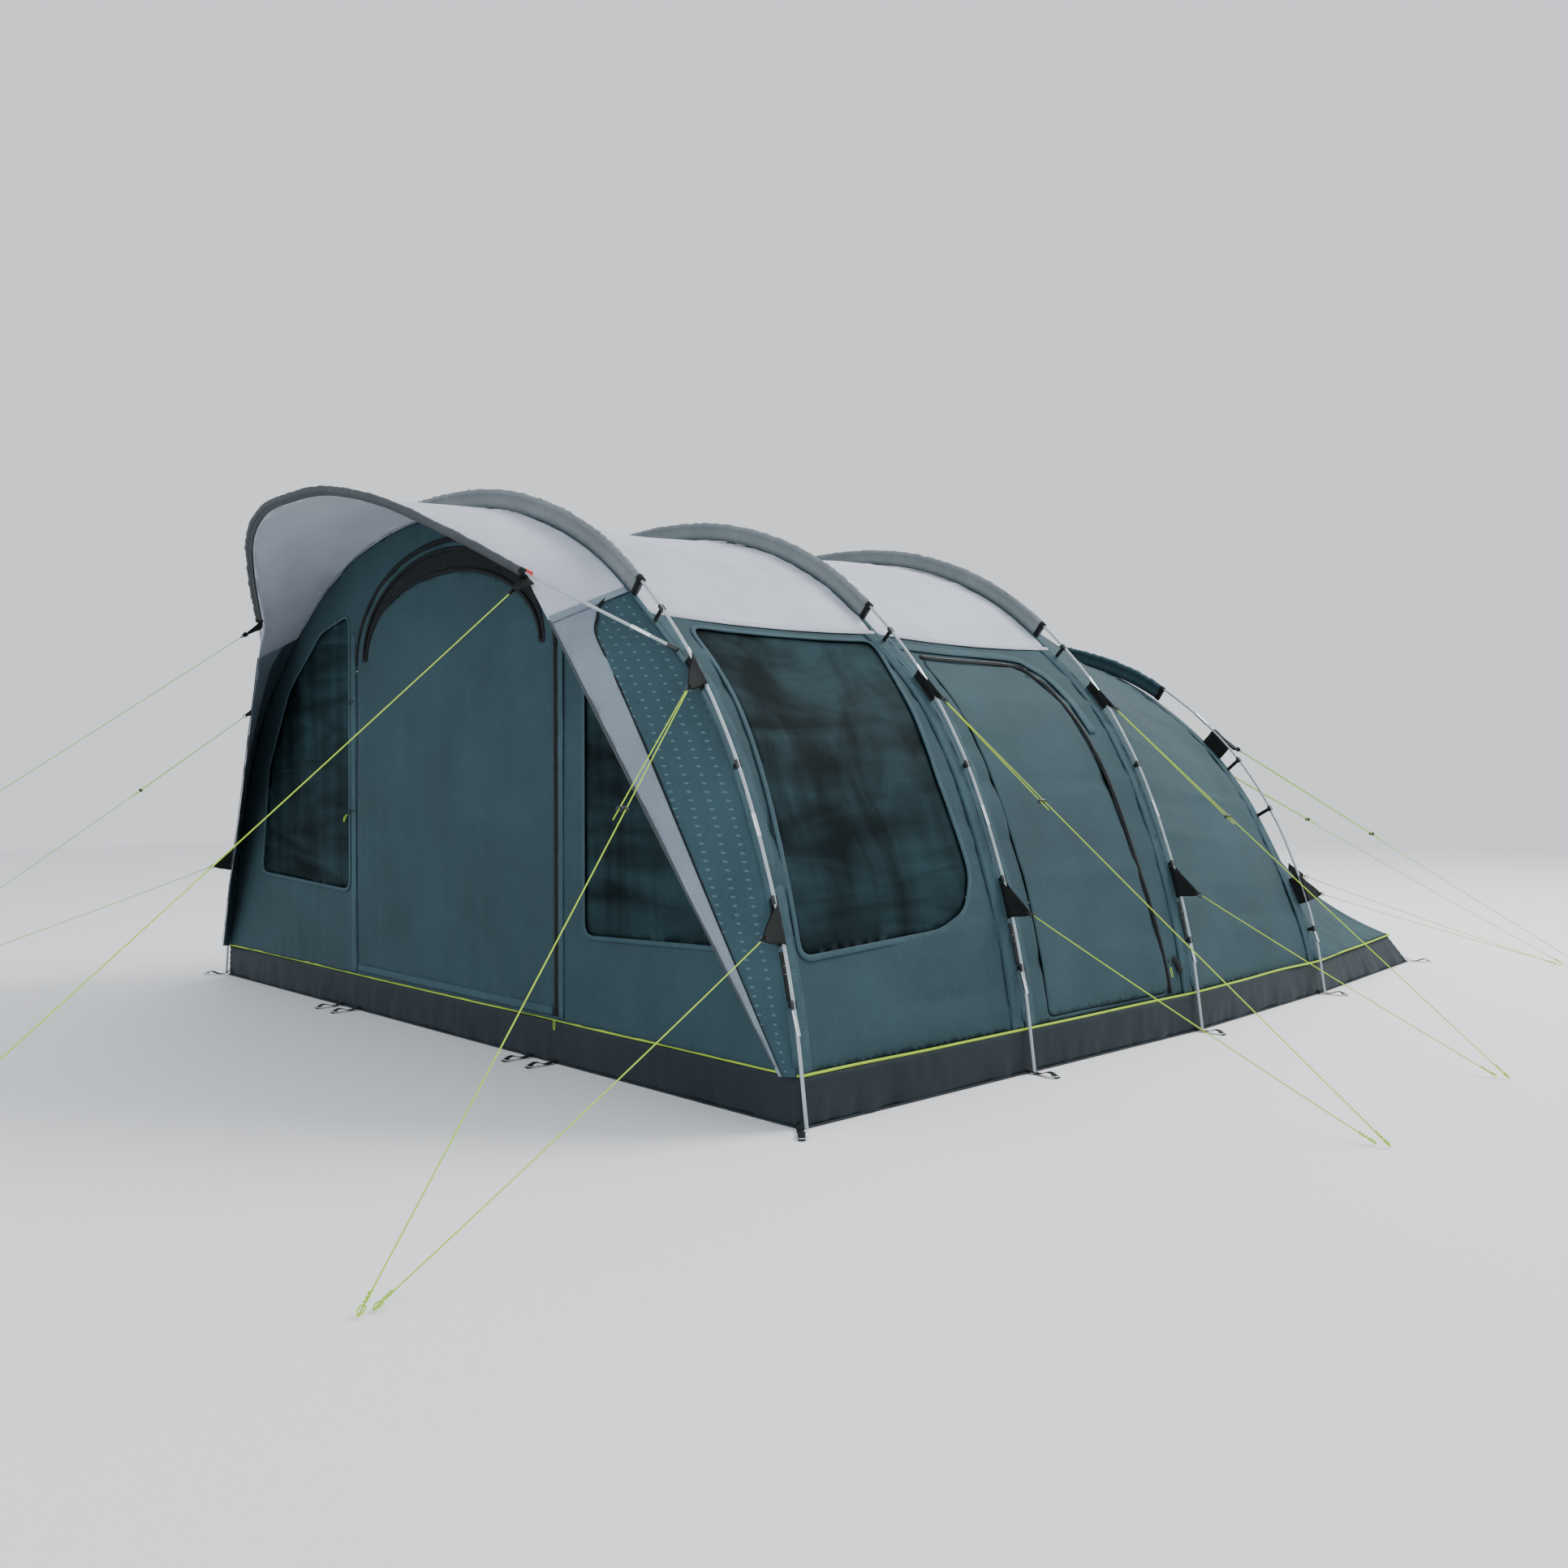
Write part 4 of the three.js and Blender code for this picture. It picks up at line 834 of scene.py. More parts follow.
def painted(tree, shape, given, out):
    # every tree ends in real geometry with its material
    real = addNode(tree, "GeometryNodeRealizeInstances", None, {0: shape.outputs[0]})
    paint = addNode(tree, "GeometryNodeSetMaterial", None, {
        "Geometry": real.outputs[0], "Material": given.outputs["Material"]})
    tree.links.new(paint.outputs[0], out.inputs[0])
    return tree


def rowTree():
    # short rods laid along a path at even steps: stitches, zip teeth, ferrules
    tree, given, out = newTree("rods along a path", [
        ("Spacing", "NodeSocketFloat"), ("Rod Length", "NodeSocketFloat"), ("Rod Radius", "NodeSocketFloat"),
        ("Sides", "NodeSocketInt"), ("Material", "NodeSocketMaterial")])
    path = addNode(tree, "GeometryNodeMeshToCurve", None, {"Mesh": given.outputs["Geometry"]})
    steps = addNode(tree, "GeometryNodeResampleCurve", {"mode": "LENGTH"},
                    {"Curve": path.outputs[0], "Length": given.outputs["Spacing"]})
    ahead = addNode(tree, "GeometryNodeInputTangent")
    turn = addNode(tree, "FunctionNodeAlignRotationToVector", {"axis": "Z"}, {"Vector": ahead.outputs[0]})
    rod = addNode(tree, "GeometryNodeMeshCylinder", None, {
        "Vertices": given.outputs["Sides"], "Radius": given.outputs["Rod Radius"],
        "Depth": given.outputs["Rod Length"]})
    placed = addNode(tree, "GeometryNodeInstanceOnPoints", None, {
        "Points": steps.outputs[0], "Instance": rod.outputs[0], "Rotation": turn.outputs[0]})
    return painted(tree, placed, given, out)


def rodTree():
    # a round rod swept along a path with closed ends: poles
    tree, given, out = newTree("rod through a path", [
        ("Radius", "NodeSocketFloat"), ("Sides", "NodeSocketInt"), ("Material", "NodeSocketMaterial")])
    path = addNode(tree, "GeometryNodeMeshToCurve", None, {"Mesh": given.outputs["Geometry"]})
    outline = addNode(tree, "GeometryNodeCurvePrimitiveCircle", None, {
        "Resolution": given.outputs["Sides"], "Radius": given.outputs["Radius"]})
    swept = addNode(tree, "GeometryNodeCurveToMesh", {"Fill Caps": True}, {
        "Curve": path.outputs[0], "Profile Curve": outline.outputs[0]})
    soft = addNode(tree, "GeometryNodeSetShadeSmooth", None, {0: swept.outputs[0]})
    return painted(tree, soft, given, out)


trees = {"row": rowTree(), "rod": rodTree()}


def grow(name, kind, paths, values, body, slot, replaces=()):
    # runs a tree on one or more paths and keeps the result as a plain mesh
    verts, edges = [], []
    for path in paths:
        start = len(verts)
        verts += [tuple(p) for p in path]
        edges += [(start + i, start + i + 1) for i in range(len(path) - 1)]
    mesh = bpy.data.meshes.new(name + "_path")
    mesh.from_pydata(verts, edges, [])
    holder = bpy.data.objects.new(name + "_path", mesh)
    scene.collection.objects.link(holder)
    modifier = holder.modifiers.new("tree", "NODES")
    modifier.node_group = trees[kind]
    for item in trees[kind].interface.items_tree:
        if item.item_type == "SOCKET" and item.in_out == "INPUT" and item.name in values:
            modifier[item.identifier] = values[item.name]
    bpy.context.view_layer.update()
    shown = holder.evaluated_get(bpy.context.evaluated_depsgraph_get())
    made = bpy.data.meshes.new_from_object(shown)
    bpy.data.objects.remove(holder)
    made.name = name
    obj = bpy.data.objects.new(name, made)
    scene.collection.objects.link(obj)
    return finish(obj, body, slot, replaces)


def stitches(name, paths, material):
    grow(name, "row", paths, {"Spacing": 0.012, "Rod Length": 0.007, "Rod Radius": 0.0006, "Sides": 5,
                              "Material": mats[material]}, "tent", "flysheet")


def zipCoil(name, path):
    grow(name, "row", [path], {"Spacing": 0.004, "Rod Length": 0.0022, "Rod Radius": 0.003, "Sides": 6,
                               "Material": mats["moulded"]}, "tent", "fitting")


# ---- poles

poleLook = {"ferruleRadius": 0.0068, "ferruleLength": 0.075, "ferruleSpacing": 0.56, "steps": 260,
            "footZ": 0.006}


def makePole(name, path, bareEnd):
    grow("rod_" + name, "rod", [path], {"Radius": tent["poleRadius"], "Sides": 16, "Material": mats["pole"]},
         "tent", "pole", ["pole_" + name])
    grow("ferrules_" + name, "row", [path[bareEnd:-bareEnd]], {
        "Spacing": poleLook["ferruleSpacing"], "Rod Length": poleLook["ferruleLength"],
        "Rod Radius": poleLook["ferruleRadius"], "Sides": 20, "Material": mats["ferrule"]}, "tent", "pole")


def makePoles():
    for name, arch in arches.items():
        first = float(shareAtHeight(arch, poleLook["footZ"]))
        makePole(name, hoopPoint(name, np.linspace(first, 1 - first, poleLook["steps"])), 12)
    x, z, _, _ = archAt(porchArch, np.linspace(0, 1, poleLook["steps"]))
    path = leanForward(x, z)
    makePole("porch", path, 10)
    for side in (1, -1):
        # each end of the porch pole sits in a moulded cap strapped to the front pole
        end = path[0] if side > 0 else path[-1]
        ahead = unit((path[4] - path[0]) if side > 0 else (path[-5] - path[-1]))
        cap = tube("porch_pole_cap_" + sideName(side),
                   [end - ahead * 0.004, end + ahead * 0.004, end + ahead * 0.03, end + ahead * 0.034],
                   0.0085, mats["moulded"], 16, up=(0, 1, 0))
        finish(cap, "tent", "fitting")


makePoles()
print("stage: poles")

# ---- sleeves: a folded channel of cloth round each pole, gathered along its bend

sleeveLook = {"around": 0.0115, "gather": 0.0062, "step": 0.011, "from": 0.567, "tailFrom": 0.585}


def makeSleeve(name, arch, first, toPoint, toCloth, material, slot, node, seed, gather=1.0):
    # toPoint(x, z, y): a point of the hoop's plane plus a sideways offset, in the row frame
    length = arch["length"] * (1 - first)
    count = int(length / sleeveLook["step"])
    u = np.linspace(first / 2, 1 - first / 2, count)
    s = u * arch["length"]
    x, z, tx, tz = archAt(arch, u)
    angles = np.linspace(1.32 * math.pi, -0.32 * math.pi, 13)
    section = [(-0.0042, -toCloth), (-0.0055, -toCloth * 0.6)]
    section += [(sleeveLook["around"] * math.cos(a), sleeveLook["around"] * math.sin(a)) for a in angles]
    section += [(0.0055, -toCloth * 0.6), (0.0042, -toCloth)]
    verts, uvs = [], []
    total = len(section)
    for j, (side, lift) in enumerate(section):
        pucker = noise(s / 0.021, np.full_like(s, j * 0.16), seed)
        pucker = pucker + 0.6 * noise(s / 0.009, np.full_like(s, j * 0.25), seed + 5)
        bulge = sleeveLook["gather"] * gather * pucker * (0.25 + 0.75 * (1 - abs(2 * j / (total - 1) - 1)))
        sideways = side + np.sign(side if side else 1) * bulge * 0.7
        up = lift + bulge * 0.45 * (lift > -toCloth * 0.9)
        verts.append(toPoint(x + tz * up, z - tx * up, sideways))
        uvs.append(np.stack([s, np.full_like(s, j * 0.012)], -1))
    verts = np.stack(verts, 1).reshape(-1, 3)
    uvs = np.stack(uvs, 1).reshape(-1, 2)
    obj = meshFrom("sleeve_cloth_" + name, verts, gridFaces(count, total), uvs, mats[material])
    thicken(obj, 0.0012)
    finish(obj, "tent", slot, [node])
    # dark binding tape at each mouth
    for end, i in (("right", 0), ("left", count - 1)):
        ring = verts.reshape(count, total, 3)
        band = np.stack([ring[i], ring[i + (2 if i == 0 else -2)]], 0)
        middle = band.mean((0, 1))
        band = middle + (band - middle) * 1.06
        tape = [(k, k + 1, total + k + 1, total + k) for k in range(total - 1)]
        piece = meshFrom("sleeve_binding_%s_%s" % (name, end), band.reshape(-1, 3), tape,
                         np.stack([np.tile(np.arange(total) * 0.01, 2), np.repeat([0, 0.02], total)], -1),
                         mats["strap"])
        thicken(piece, tapeThickness)
        finish(piece, "tent", "fitting")


def hoopPlane(name):
    return lambda x, z, y: np.stack([x, np.full_like(x, hoopY[name]) + y, z], -1)


def porchPlane(x, z, y):
    lean = porchHoop["lean"]
    point = leanForward(x, z)
    return point + np.array([0, math.cos(lean), math.sin(lean)]) * np.asarray(y)[..., None]


for seed, name in enumerate(("front", "middle", "rear")):
    makeSleeve(name, fullArch, sleeveLook["from"], hoopPlane(name), 0.06, "sleeve", "pole_sleeve",
               "sleeve_" + name, seed)
makeSleeve("tail", tailArch, sleeveLook["tailFrom"], hoopPlane("tail"), 0.06, "flySleeve", "flysheet",
           "sleeve_tail", 11)
makeSleeve("porch", porchArch, porchHoop["sleeveFrom"], porchPlane, 0.024, "porchHem", "porch_hem",
           "sleeve_porch", 17, 0.6)
print("stage: sleeves")

# ---- the cloths between the hoops

cloth = {"spacing": 0.018, "pucker": 0.0072, "puckerWave": 0.042, "puckerDepth": 0.055, "billow": 0.008,
         "crease": 0.0062}


def reliefOf(width, length, seed, strength=1.0, start=0.0):
    # puckers along the sewn edges, tension lines across the bay, and a slow billow; flat at the edges
    def relief(a, b):
        near0, near1 = np.clip(b, 0, None), np.clip(length - b, 0, None)
        edge = np.exp(-near0 / cloth["puckerDepth"]) + np.exp(-near1 / cloth["puckerDepth"])
        wave = noise(a / cloth["puckerWave"], b / 0.3, seed) + 0.5 * noise(a / 0.021, b / 0.2, seed + 3)
        held = smooth(0, 0.014, np.minimum(near0, near1))
        billow = noise(a / 0.55, b / 0.4, seed + 7) + 0.4 * noise(a / 0.22, b / 0.3, seed + 9)
        tension = noise(a / 0.075, b / 0.75, seed + 13)
        tension = tension * np.abs(tension) * 1.5
        slow = smooth(0, 0.16, np.minimum(near0, near1))
        low = 0.4 + 0.6 * smooth(0, 0.12, np.minimum(a - start, start + width - a))
        return strength * low * (cloth["pucker"] * wave * edge * held + cloth["billow"] * billow * slow
                                 + cloth["crease"] * tension * held)
    return relief


def rectangle(a0, a1, b0, b1):
    return [(a0, b0), (a1, b0), (a1, b1), (a0, b1)]


bays = {
    "front": {"surface": baySurface("front", "middle"), "length": hoopY["middle"] - hoopY["front"],
              "y": hoopY["front"]},
    "middle": {"surface": baySurface("middle", "rear"), "length": hoopY["rear"] - hoopY["middle"],
               "y": hoopY["middle"]},
    "rear": {"surface": baySurface("rear", "tail"), "length": hoopY["tail"] - hoopY["rear"],
             "y": hoopY["rear"]},
}
around = fullArch["length"]


def onWall(points, bay, side=1):
    # an outline given in distance from the front hoop and height becomes one along the cloth
    result = []
    for y, z in points:
        share = float(shareAtHeight(fullArch, z))
        share = share if side > 0 else 1 - share
        result.append((share * around, frontY + y - bays[bay]["y"]))
    return result


def rounded(points, radius, steps=5):
    # rounds each corner of an outline with a short curve
    points = [np.array(p, float) for p in points]
    result = []
    for i, p in enumerate(points):
        before, after = points[i - 1], points[(i + 1) % len(points)]
        a = p + (before - p) * min(0.45, radius / max(np.linalg.norm(before - p), 1e-6))
        b = p + (after - p) * min(0.45, radius / max(np.linalg.norm(after - p), 1e-6))
        for t in np.linspace(0, 1, steps):
            result.append(tuple(a * (1 - t) ** 2 + 2 * p * t * (1 - t) + b * t ** 2))
    return result


def reshaped(outline, gap):
    # moves an outline inwards by a gap
    points = np.asarray(outline, float)
    turn = np.sign(np.sum(points[:, 0] * np.roll(points[:, 1], -1) - np.roll(points[:, 0], -1)
                          * points[:, 1]))
    ahead = np.roll(points, -1, 0) - points
    behind = points - np.roll(points, 1, 0)
    sizeOf = lambda d: np.maximum(np.linalg.norm(d, axis=1, keepdims=True), 1e-9)
    left = lambda d: np.stack([-d[:, 1], d[:, 0]], -1) / sizeOf(d)
    lean = left(ahead) + left(behind)
    lean /= np.maximum(np.linalg.norm(lean, axis=1, keepdims=True), 1e-9)
    reach = gap / np.maximum(np.sum(lean * left(ahead), -1), 0.4)
    return points + lean * reach[:, None] * turn


sideWindow = rounded([(.085, .49), (.74, .52), (.88, .57), (.95, .69), (.93, 1.03), (.975, 1.39),
                      (1.03, 1.56), (.15, 1.56), (.135, 1.27), (.11, .915)], 0.05)
sideDoor = rounded([(1.24, .172), (2.03, .172), (2.005, .42), (1.975, .72), (1.965, 1.13), (1.925, 1.37),
                    (1.83, 1.5), (1.24, 1.5)], 0.04)
frontDoor = {"left": -.67, "right": .82, "shoulder": 1.48, "top": 1.93, "bottom": .168, "gap": .004}


def ribbon(name, surface, size, path, width, material, lift=0.003, bow=0.0015, closed=False, body="tent",
           slot="flysheet", inside=tentMiddle, spacing=0.02, wobble=0.0):
    # a flat tape laid along a path on a cloth, standing a little proud of it
    path = resampled(path, spacing, closed)
    ahead = (np.roll(path, -1, 0) - np.roll(path, 1, 0)) if closed else np.gradient(path, axis=0)
    ahead /= np.maximum(np.linalg.norm(ahead, axis=1, keepdims=True), 1e-9)
    across = np.stack([-ahead[:, 1], ahead[:, 0]], -1)
    gone = distances(path)
    shares = np.linspace(-0.5, 0.5, 5)
    rows, uvs = [], []
    for share in shares:
        place, normal, _ = laidOn(surface, size, path + across * share * width, inside)
        height = lift + bow * (1 - (2 * share) ** 2)
        height = height + wobble * noise(gone / 0.04, np.full_like(gone, share * 3), 3)
        rows.append(place + normal * height[:, None])
        uvs.append(np.stack([gone, np.full_like(gone, share * width)], -1))
    verts = np.stack(rows, 1).reshape(-1, 3)
    uvs = np.stack(uvs, 1).reshape(-1, 2)
    n, k = len(path), len(shares)
    faces = []
    for i in range(n if closed else n - 1):
        for j in range(k - 1):
            faces.append((i * k + j, i * k + j + 1, ((i + 1) % n) * k + j + 1, ((i + 1) % n) * k + j))
    probe = np.cross(verts[1] - verts[0], verts[k] - verts[0])
    middle = verts[0] - np.array(inside)
    if np.dot(probe, middle) < 0:
        faces = [f[::-1] for f in faces]
    obj = meshFrom(name, verts, faces, uvs, material)
    thicken(obj, tapeThickness)
    finish(obj, body, slot)


def linePaths(surface, size, path, spacing=0.03, lift=0.004, inside=tentMiddle):
    # the same path as a line in space, for what is sewn along it
    place, normal, _ = laidOn(surface, size, resampled(path, spacing, False), inside)
    return place + normal * lift


def makeBays():
    hemLow, hemHigh = hemShare * around, (1 - hemShare) * around
    for name, seed in (("front", 1), ("middle", 2)):
        bay = bays[name]
        size = (around, bay["length"])
        clothPanel("roof_cloth_" + name, bay["surface"], size, rectangle(hemLow, hemHigh, 0, bay["length"]),
                   mats["roof"], relief=reliefOf(hemHigh - hemLow, bay["length"], seed, 1.0, hemLow),
                   poles=["rod_front", "rod_middle"], replaces=["roof_" + name], slot="roof_cloth",
                   spacing=cloth["spacing"])
        for side in (1, -1):
            label = sideName(side)
            a0, a1 = footShare * around, hemLow
            if side < 0:
                a0, a1 = hemHigh, (1 - footShare) * around
            holes = []
            if name == "front":
                holes = [onWall(sideWindow, "front", side)]
            elif side > 0:
                holes = [onWall(sideDoor, "middle")]
            replaced = ["wall_%s_%s" % (name, label)]
            clothPanel("wall_cloth_%s_%s" % (name, label), bay["surface"], size,
                       rectangle(a0, a1, 0, bay["length"]), mats["fly"], holes,
                       relief=reliefOf(a1 - a0, bay["length"], seed + 20 + side, 0.8, a0),
                       poles=["rod_" + name], replaces=replaced, spacing=0.018)
            # felled hem where the pale roof meets the wall
            hem = hemLow if side > 0 else hemHigh
            ribbon("roof_hem_%s_%s" % (name, label), bay["surface"], size,
                   [(hem, 0.004), (hem, bay["length"] - 0.004)], 0.022, mats["roof"], slot="roof_cloth",
                   wobble=0.0008)
            paths = [linePaths(bay["surface"], size, [(hem + k, 0.01), (hem + k, bay["length"] - 0.01)],
                               lift=0.0062) for k in (-0.007, 0.007)]
            stitches("hem_stitches_%s_%s" % (name, label), paths, "hem")
    bay = bays["rear"]
    size = (around, bay["length"])
    low, high = footShare * around, (1 - footShare) * around
    clothPanel("rear_bay_cloth", bay["surface"], size, rectangle(low, high, 0, bay["length"]), mats["fly"],
               relief=reliefOf((1 - 2 * footShare) * around, bay["length"], 5, 1.1, low),
               poles=["rod_rear", "rod_tail"], replaces=["shell_rear_bay"], spacing=0.022)


tailSize = (4.6, 1.75)


def makeTail():
    clothPanel("tail_cloth", tailSurface, tailSize, rectangle(0, tailSize[0], 0, tailSize[1]), mats["fly"],
               relief=reliefOf(tailSize[0], tailSize[1], 9, 1.0), poles=["rod_tail"], replaces=["shell_tail"],
               spacing=0.024, inside=(0, 0.6, 0.3))


porchSize = (4.4, 0.62)
porchInside = (0, frontY + 0.1, 1.0)


def makePorch():
    w = porchHoop["wingTop"] / 2
    width = porchSize[0]
    clothPanel("porch_cloth", porchSurface, porchSize, rectangle(w * width, (1 - w) * width, 0, porchSize[1]),
               mats["roof"], relief=reliefOf(width * (1 - 2 * w), porchSize[1], 31, 0.7, w * width),
               poles=["rod_front", "rod_porch"], replaces=["porch_roof"], slot="roof_cloth", spacing=0.018,
               inside=porchInside)
    for side in (1, -1):
        label = sideName(side)
        a0, a1 = (0, w * width) if side > 0 else ((1 - w) * width, width)
        span = a1 - a0
        foot, peak = (a0, a1) if side > 0 else (a1, a0)
        end = 0.56 * porchSize[1]
        elbow = [(peak, end - 0.17), (peak - (peak - foot) * 0.012, end - 0.1),
                   (peak - (peak - foot) * 0.035, end - 0.045)]
        line = [(foot + (peak - foot) * t, porchSize[1] * (0.82 - 0.12 * t - 0.14 * t ** 4))
                for t in np.linspace(0, 0.93, 14)] + elbow[::-1]
        seen = {"poles": ["rod_front"], "spacing": 0.014, "inside": porchInside,
                "uvFrom": lambda place: place[:, 1:3]}
        clothPanel("wing_cloth_" + label, porchSurface, porchSize, [(peak, 0), (foot, 0)] + line,
                   mats["flyDots"], relief=reliefOf(span, porchSize[1], 33 + side, 0.7, a0), slot="flysheet",
                   replaces=["wing_" + label], **seen)
        clothPanel("wing_hem_" + label, porchSurface, porchSize,
                   line + [(peak, porchSize[1]), (foot, porchSize[1])], mats["hem"],
                   relief=reliefOf(span, porchSize[1], 33 + side, 0.7, a0), slot="roof_cloth", **seen)
        stop = w * width if side > 0 else (1 - w) * width
        start = 0.02 if side > 0 else width - 0.02
        ribbon("wing_seam_" + label, porchSurface, porchSize, curveThrough(line, 80), 0.009, mats["strap"],
               inside=porchInside, slot="fitting")
        ribbon("wing_edge_binding_" + label, porchSurface, porchSize,
               [(start, porchSize[1] - 0.004), (stop, porchSize[1] - 0.004)], 0.016, mats["porchHem"],
               inside=porchInside, slot="porch_hem", wobble=0.0006)
        ribbon("wing_top_tape_" + label, porchSurface, porchSize, [(stop, 0.01), (stop, porchSize[1] - 0.01)],
               0.02, mats["hem"], inside=porchInside, slot="roof_cloth")


makeBays()
print("stage: bays")
makeTail()
makePorch()
print("stage: tail and porch")

# ---- front wall, door and windows in the plane of the front hoop


def doorOutline(margin, bottom):
    middle = (frontDoor["left"] + frontDoor["right"]) / 2
    reach = (frontDoor["right"] - frontDoor["left"]) / 2 - margin
    height = frontDoor["top"] - frontDoor["shoulder"] - margin
    arc = [(middle + reach * math.cos(a), frontDoor["shoulder"] + height * math.sin(a))
           for a in np.linspace(0, math.pi, 25)]
    return [(middle - reach, bottom), (middle + reach, bottom)] + arc


def crescentOutline(gap=0.0):
    middle = (frontDoor["left"] + frontDoor["right"]) / 2
    reach = (frontDoor["right"] - frontDoor["left"]) / 2 - 0.06 - gap
    height = frontDoor["top"] - frontDoor["shoulder"] - 0.05 - gap
    base = frontDoor["shoulder"] + 0.02
    tip, depth = 0.034 - 2 * gap, 0.092 - 2 * gap
    angles = np.linspace(0, math.pi, 29)
    arc = lambda x, z: [(middle + x * math.cos(a), base + z * math.sin(a)) for a in angles]
    return arc(reach, height) + arc(reach - tip, height - depth)[::-1]


frontWindows = {
    "left": rounded([(-1.64, .545), (-.745, .515), (-.745, 1.70), (-1.01, 1.64), (-1.33, 1.40),
                     (-1.56, 1.04)], 0.05),
    "right": rounded([(1.0, .47), (1.76, .5), (1.64, .9), (1.43, 1.29), (1.2, 1.52), (1.0, 1.6)], 0.05),
}
frontInside = (0, frontY + 1.5, 1.0)
flat = (1.0, 1.0)


def frontRelief(a, b):
    # soft vertical drape between the door seams and the hoop, with crinkles at the foot
    low = np.exp(-(b - 0.16) / 0.12)
    return (0.004 * noise(a / 0.22, b / 0.7, 51) + 0.002 * noise(a / 0.06, b / 0.5, 52)
            + 0.003 * low * noise(a / 0.045, b / 0.2, 53))


def doorRelief(a, b):
    folds = 0.0045 * noise(a / 0.16, b / 1.1, 61) + 0.0018 * noise(a / 0.05, b / 0.6, 62)
    slant = 0.0025 * noise((a + b * 0.5) / 0.12, (b - a * 0.5) / 0.9, 63)
    inner = smooth(0, 0.05, np.minimum(np.minimum(a - frontDoor["left"], frontDoor["right"] - a), b - 0.17))
    return (folds + slant) * inner


def makeFront():
    steps = np.linspace(footShare, 1 - footShare, 60)
    x, z, tx, tz = archAt(fullArch, steps)
    reach = insetOf("front", steps) + 0.006
    outline = [(float(a), max(float(b), 0.156)) for a, b in zip(x - tz * reach, z + tx * reach)]
    holes = [doorOutline(0, frontDoor["bottom"]), frontWindows["left"], frontWindows["right"]]
    clothPanel("front_wall_cloth", frontSurface, flat, outline, mats["fly"], holes, relief=frontRelief,
               spacing=0.018, poles=["rod_front"], replaces=["front_wall"], inside=frontInside)
    gap = frontDoor["gap"]
    clothPanel("front_door_cloth", frontSurface, flat, doorOutline(gap, frontDoor["bottom"] + gap),
               mats["fly"], [crescentOutline(-0.002)], relief=doorRelief, spacing=0.018,
               replaces=["front_door"], held="hung", body="front_door", inside=frontInside,
               poles=["front_wall_cloth"])
    clothPanel("door_vent_mesh", frontSurface, flat, crescentOutline(-0.006), mats["mesh"], lift=-0.002,
               spacing=0.014, replaces=["front_door_vent"], body="front_door", slot="vent_mesh",
               inside=frontInside, poles=["front_door_cloth"])
    ribbon("vent_binding", frontSurface, flat, crescentOutline(0.004), 0.014, mats["zip"], closed=True,
           body="front_door", slot="fitting", inside=frontInside, spacing=0.012)
    # the door's zip: tape on both sides, a coil between them, and a rain flap beside it
    left, right = frontDoor["left"], frontDoor["right"]
    arch = doorOutline(-0.004, 0)[2:]
    ribbon("door_zip_tape_right", frontSurface, flat, [(right + .012, .17),
                                                       (right + .012, frontDoor["shoulder"])], 0.03,
           mats["zip"], slot="fitting", inside=frontInside, lift=0.002, bow=0.0006)
    ribbon("door_zip_tape_arch", frontSurface, flat, arch, 0.018, mats["zip"], slot="fitting",
           inside=frontInside)
    ribbon("door_fold_tape_left", frontSurface, flat, [(left - .028, .165), (left - .028, 1.62)], 0.042,
           mats["flyBand"], inside=frontInside, wobble=0.0015)
    ribbon("door_rain_flap", frontSurface, flat, [(right + .04, .165), (right + .04, 1.5)], 0.03,
           mats["flyBand"], inside=frontInside, wobble=0.0015, lift=0.004)
    ribbon("door_foot_band", frontSurface, flat, [(left + .01, .185), (right - .012, .185)], 0.03,
           mats["flyBand"], body="front_door", inside=frontInside)
    rowPath = linePaths(frontSurface, flat, [(right + .0015, .175), (right + .0015, frontDoor["shoulder"])],
                        0.02, 0.0045, frontInside)
    zipCoil("door_zip_coil", rowPath)
    for name, outline in frontWindows.items():
        node = "front_window_" + name
        clothPanel("window_film_front_" + name, frontSurface, flat, outline, mats["film"], lift=-0.005,
                   relief=lambda a, b: 0.002 * noise(a / 0.2, b / 0.25, 71), spacing=0.03, replaces=[node],
                   slot="window_film", inside=frontInside, poles=["front_wall_cloth"])
        ribbon("window_binding_front_" + name, frontSurface, flat, reshaped(outline, -0.006), 0.016,
               mats["flyBand"], closed=True, inside=frontInside, lift=0.0022)


def makeSideWindows():
    bay = bays["front"]
    size = (around, bay["length"])
    for side in (1, -1):
        label = sideName(side)
        outline = onWall(sideWindow, "front", side)
        clothPanel("window_film_side_" + label, bay["surface"], size, outline, mats["film"], lift=-0.005,
                   relief=lambda a, b: 0.0025 * noise(a / 0.25, b / 0.2, 73), spacing=0.028,
                   replaces=["side_window_" + label], slot="window_film", poles=["wall_cloth_front_" + label])
        ribbon("window_binding_side_" + label, bay["surface"], size, reshaped(outline, -0.007), 0.02,
               mats["flyBand"], closed=True, lift=0.0026, wobble=0.0008)


makeFront()
makeSideWindows()
print("stage: front wall, doors and windows")


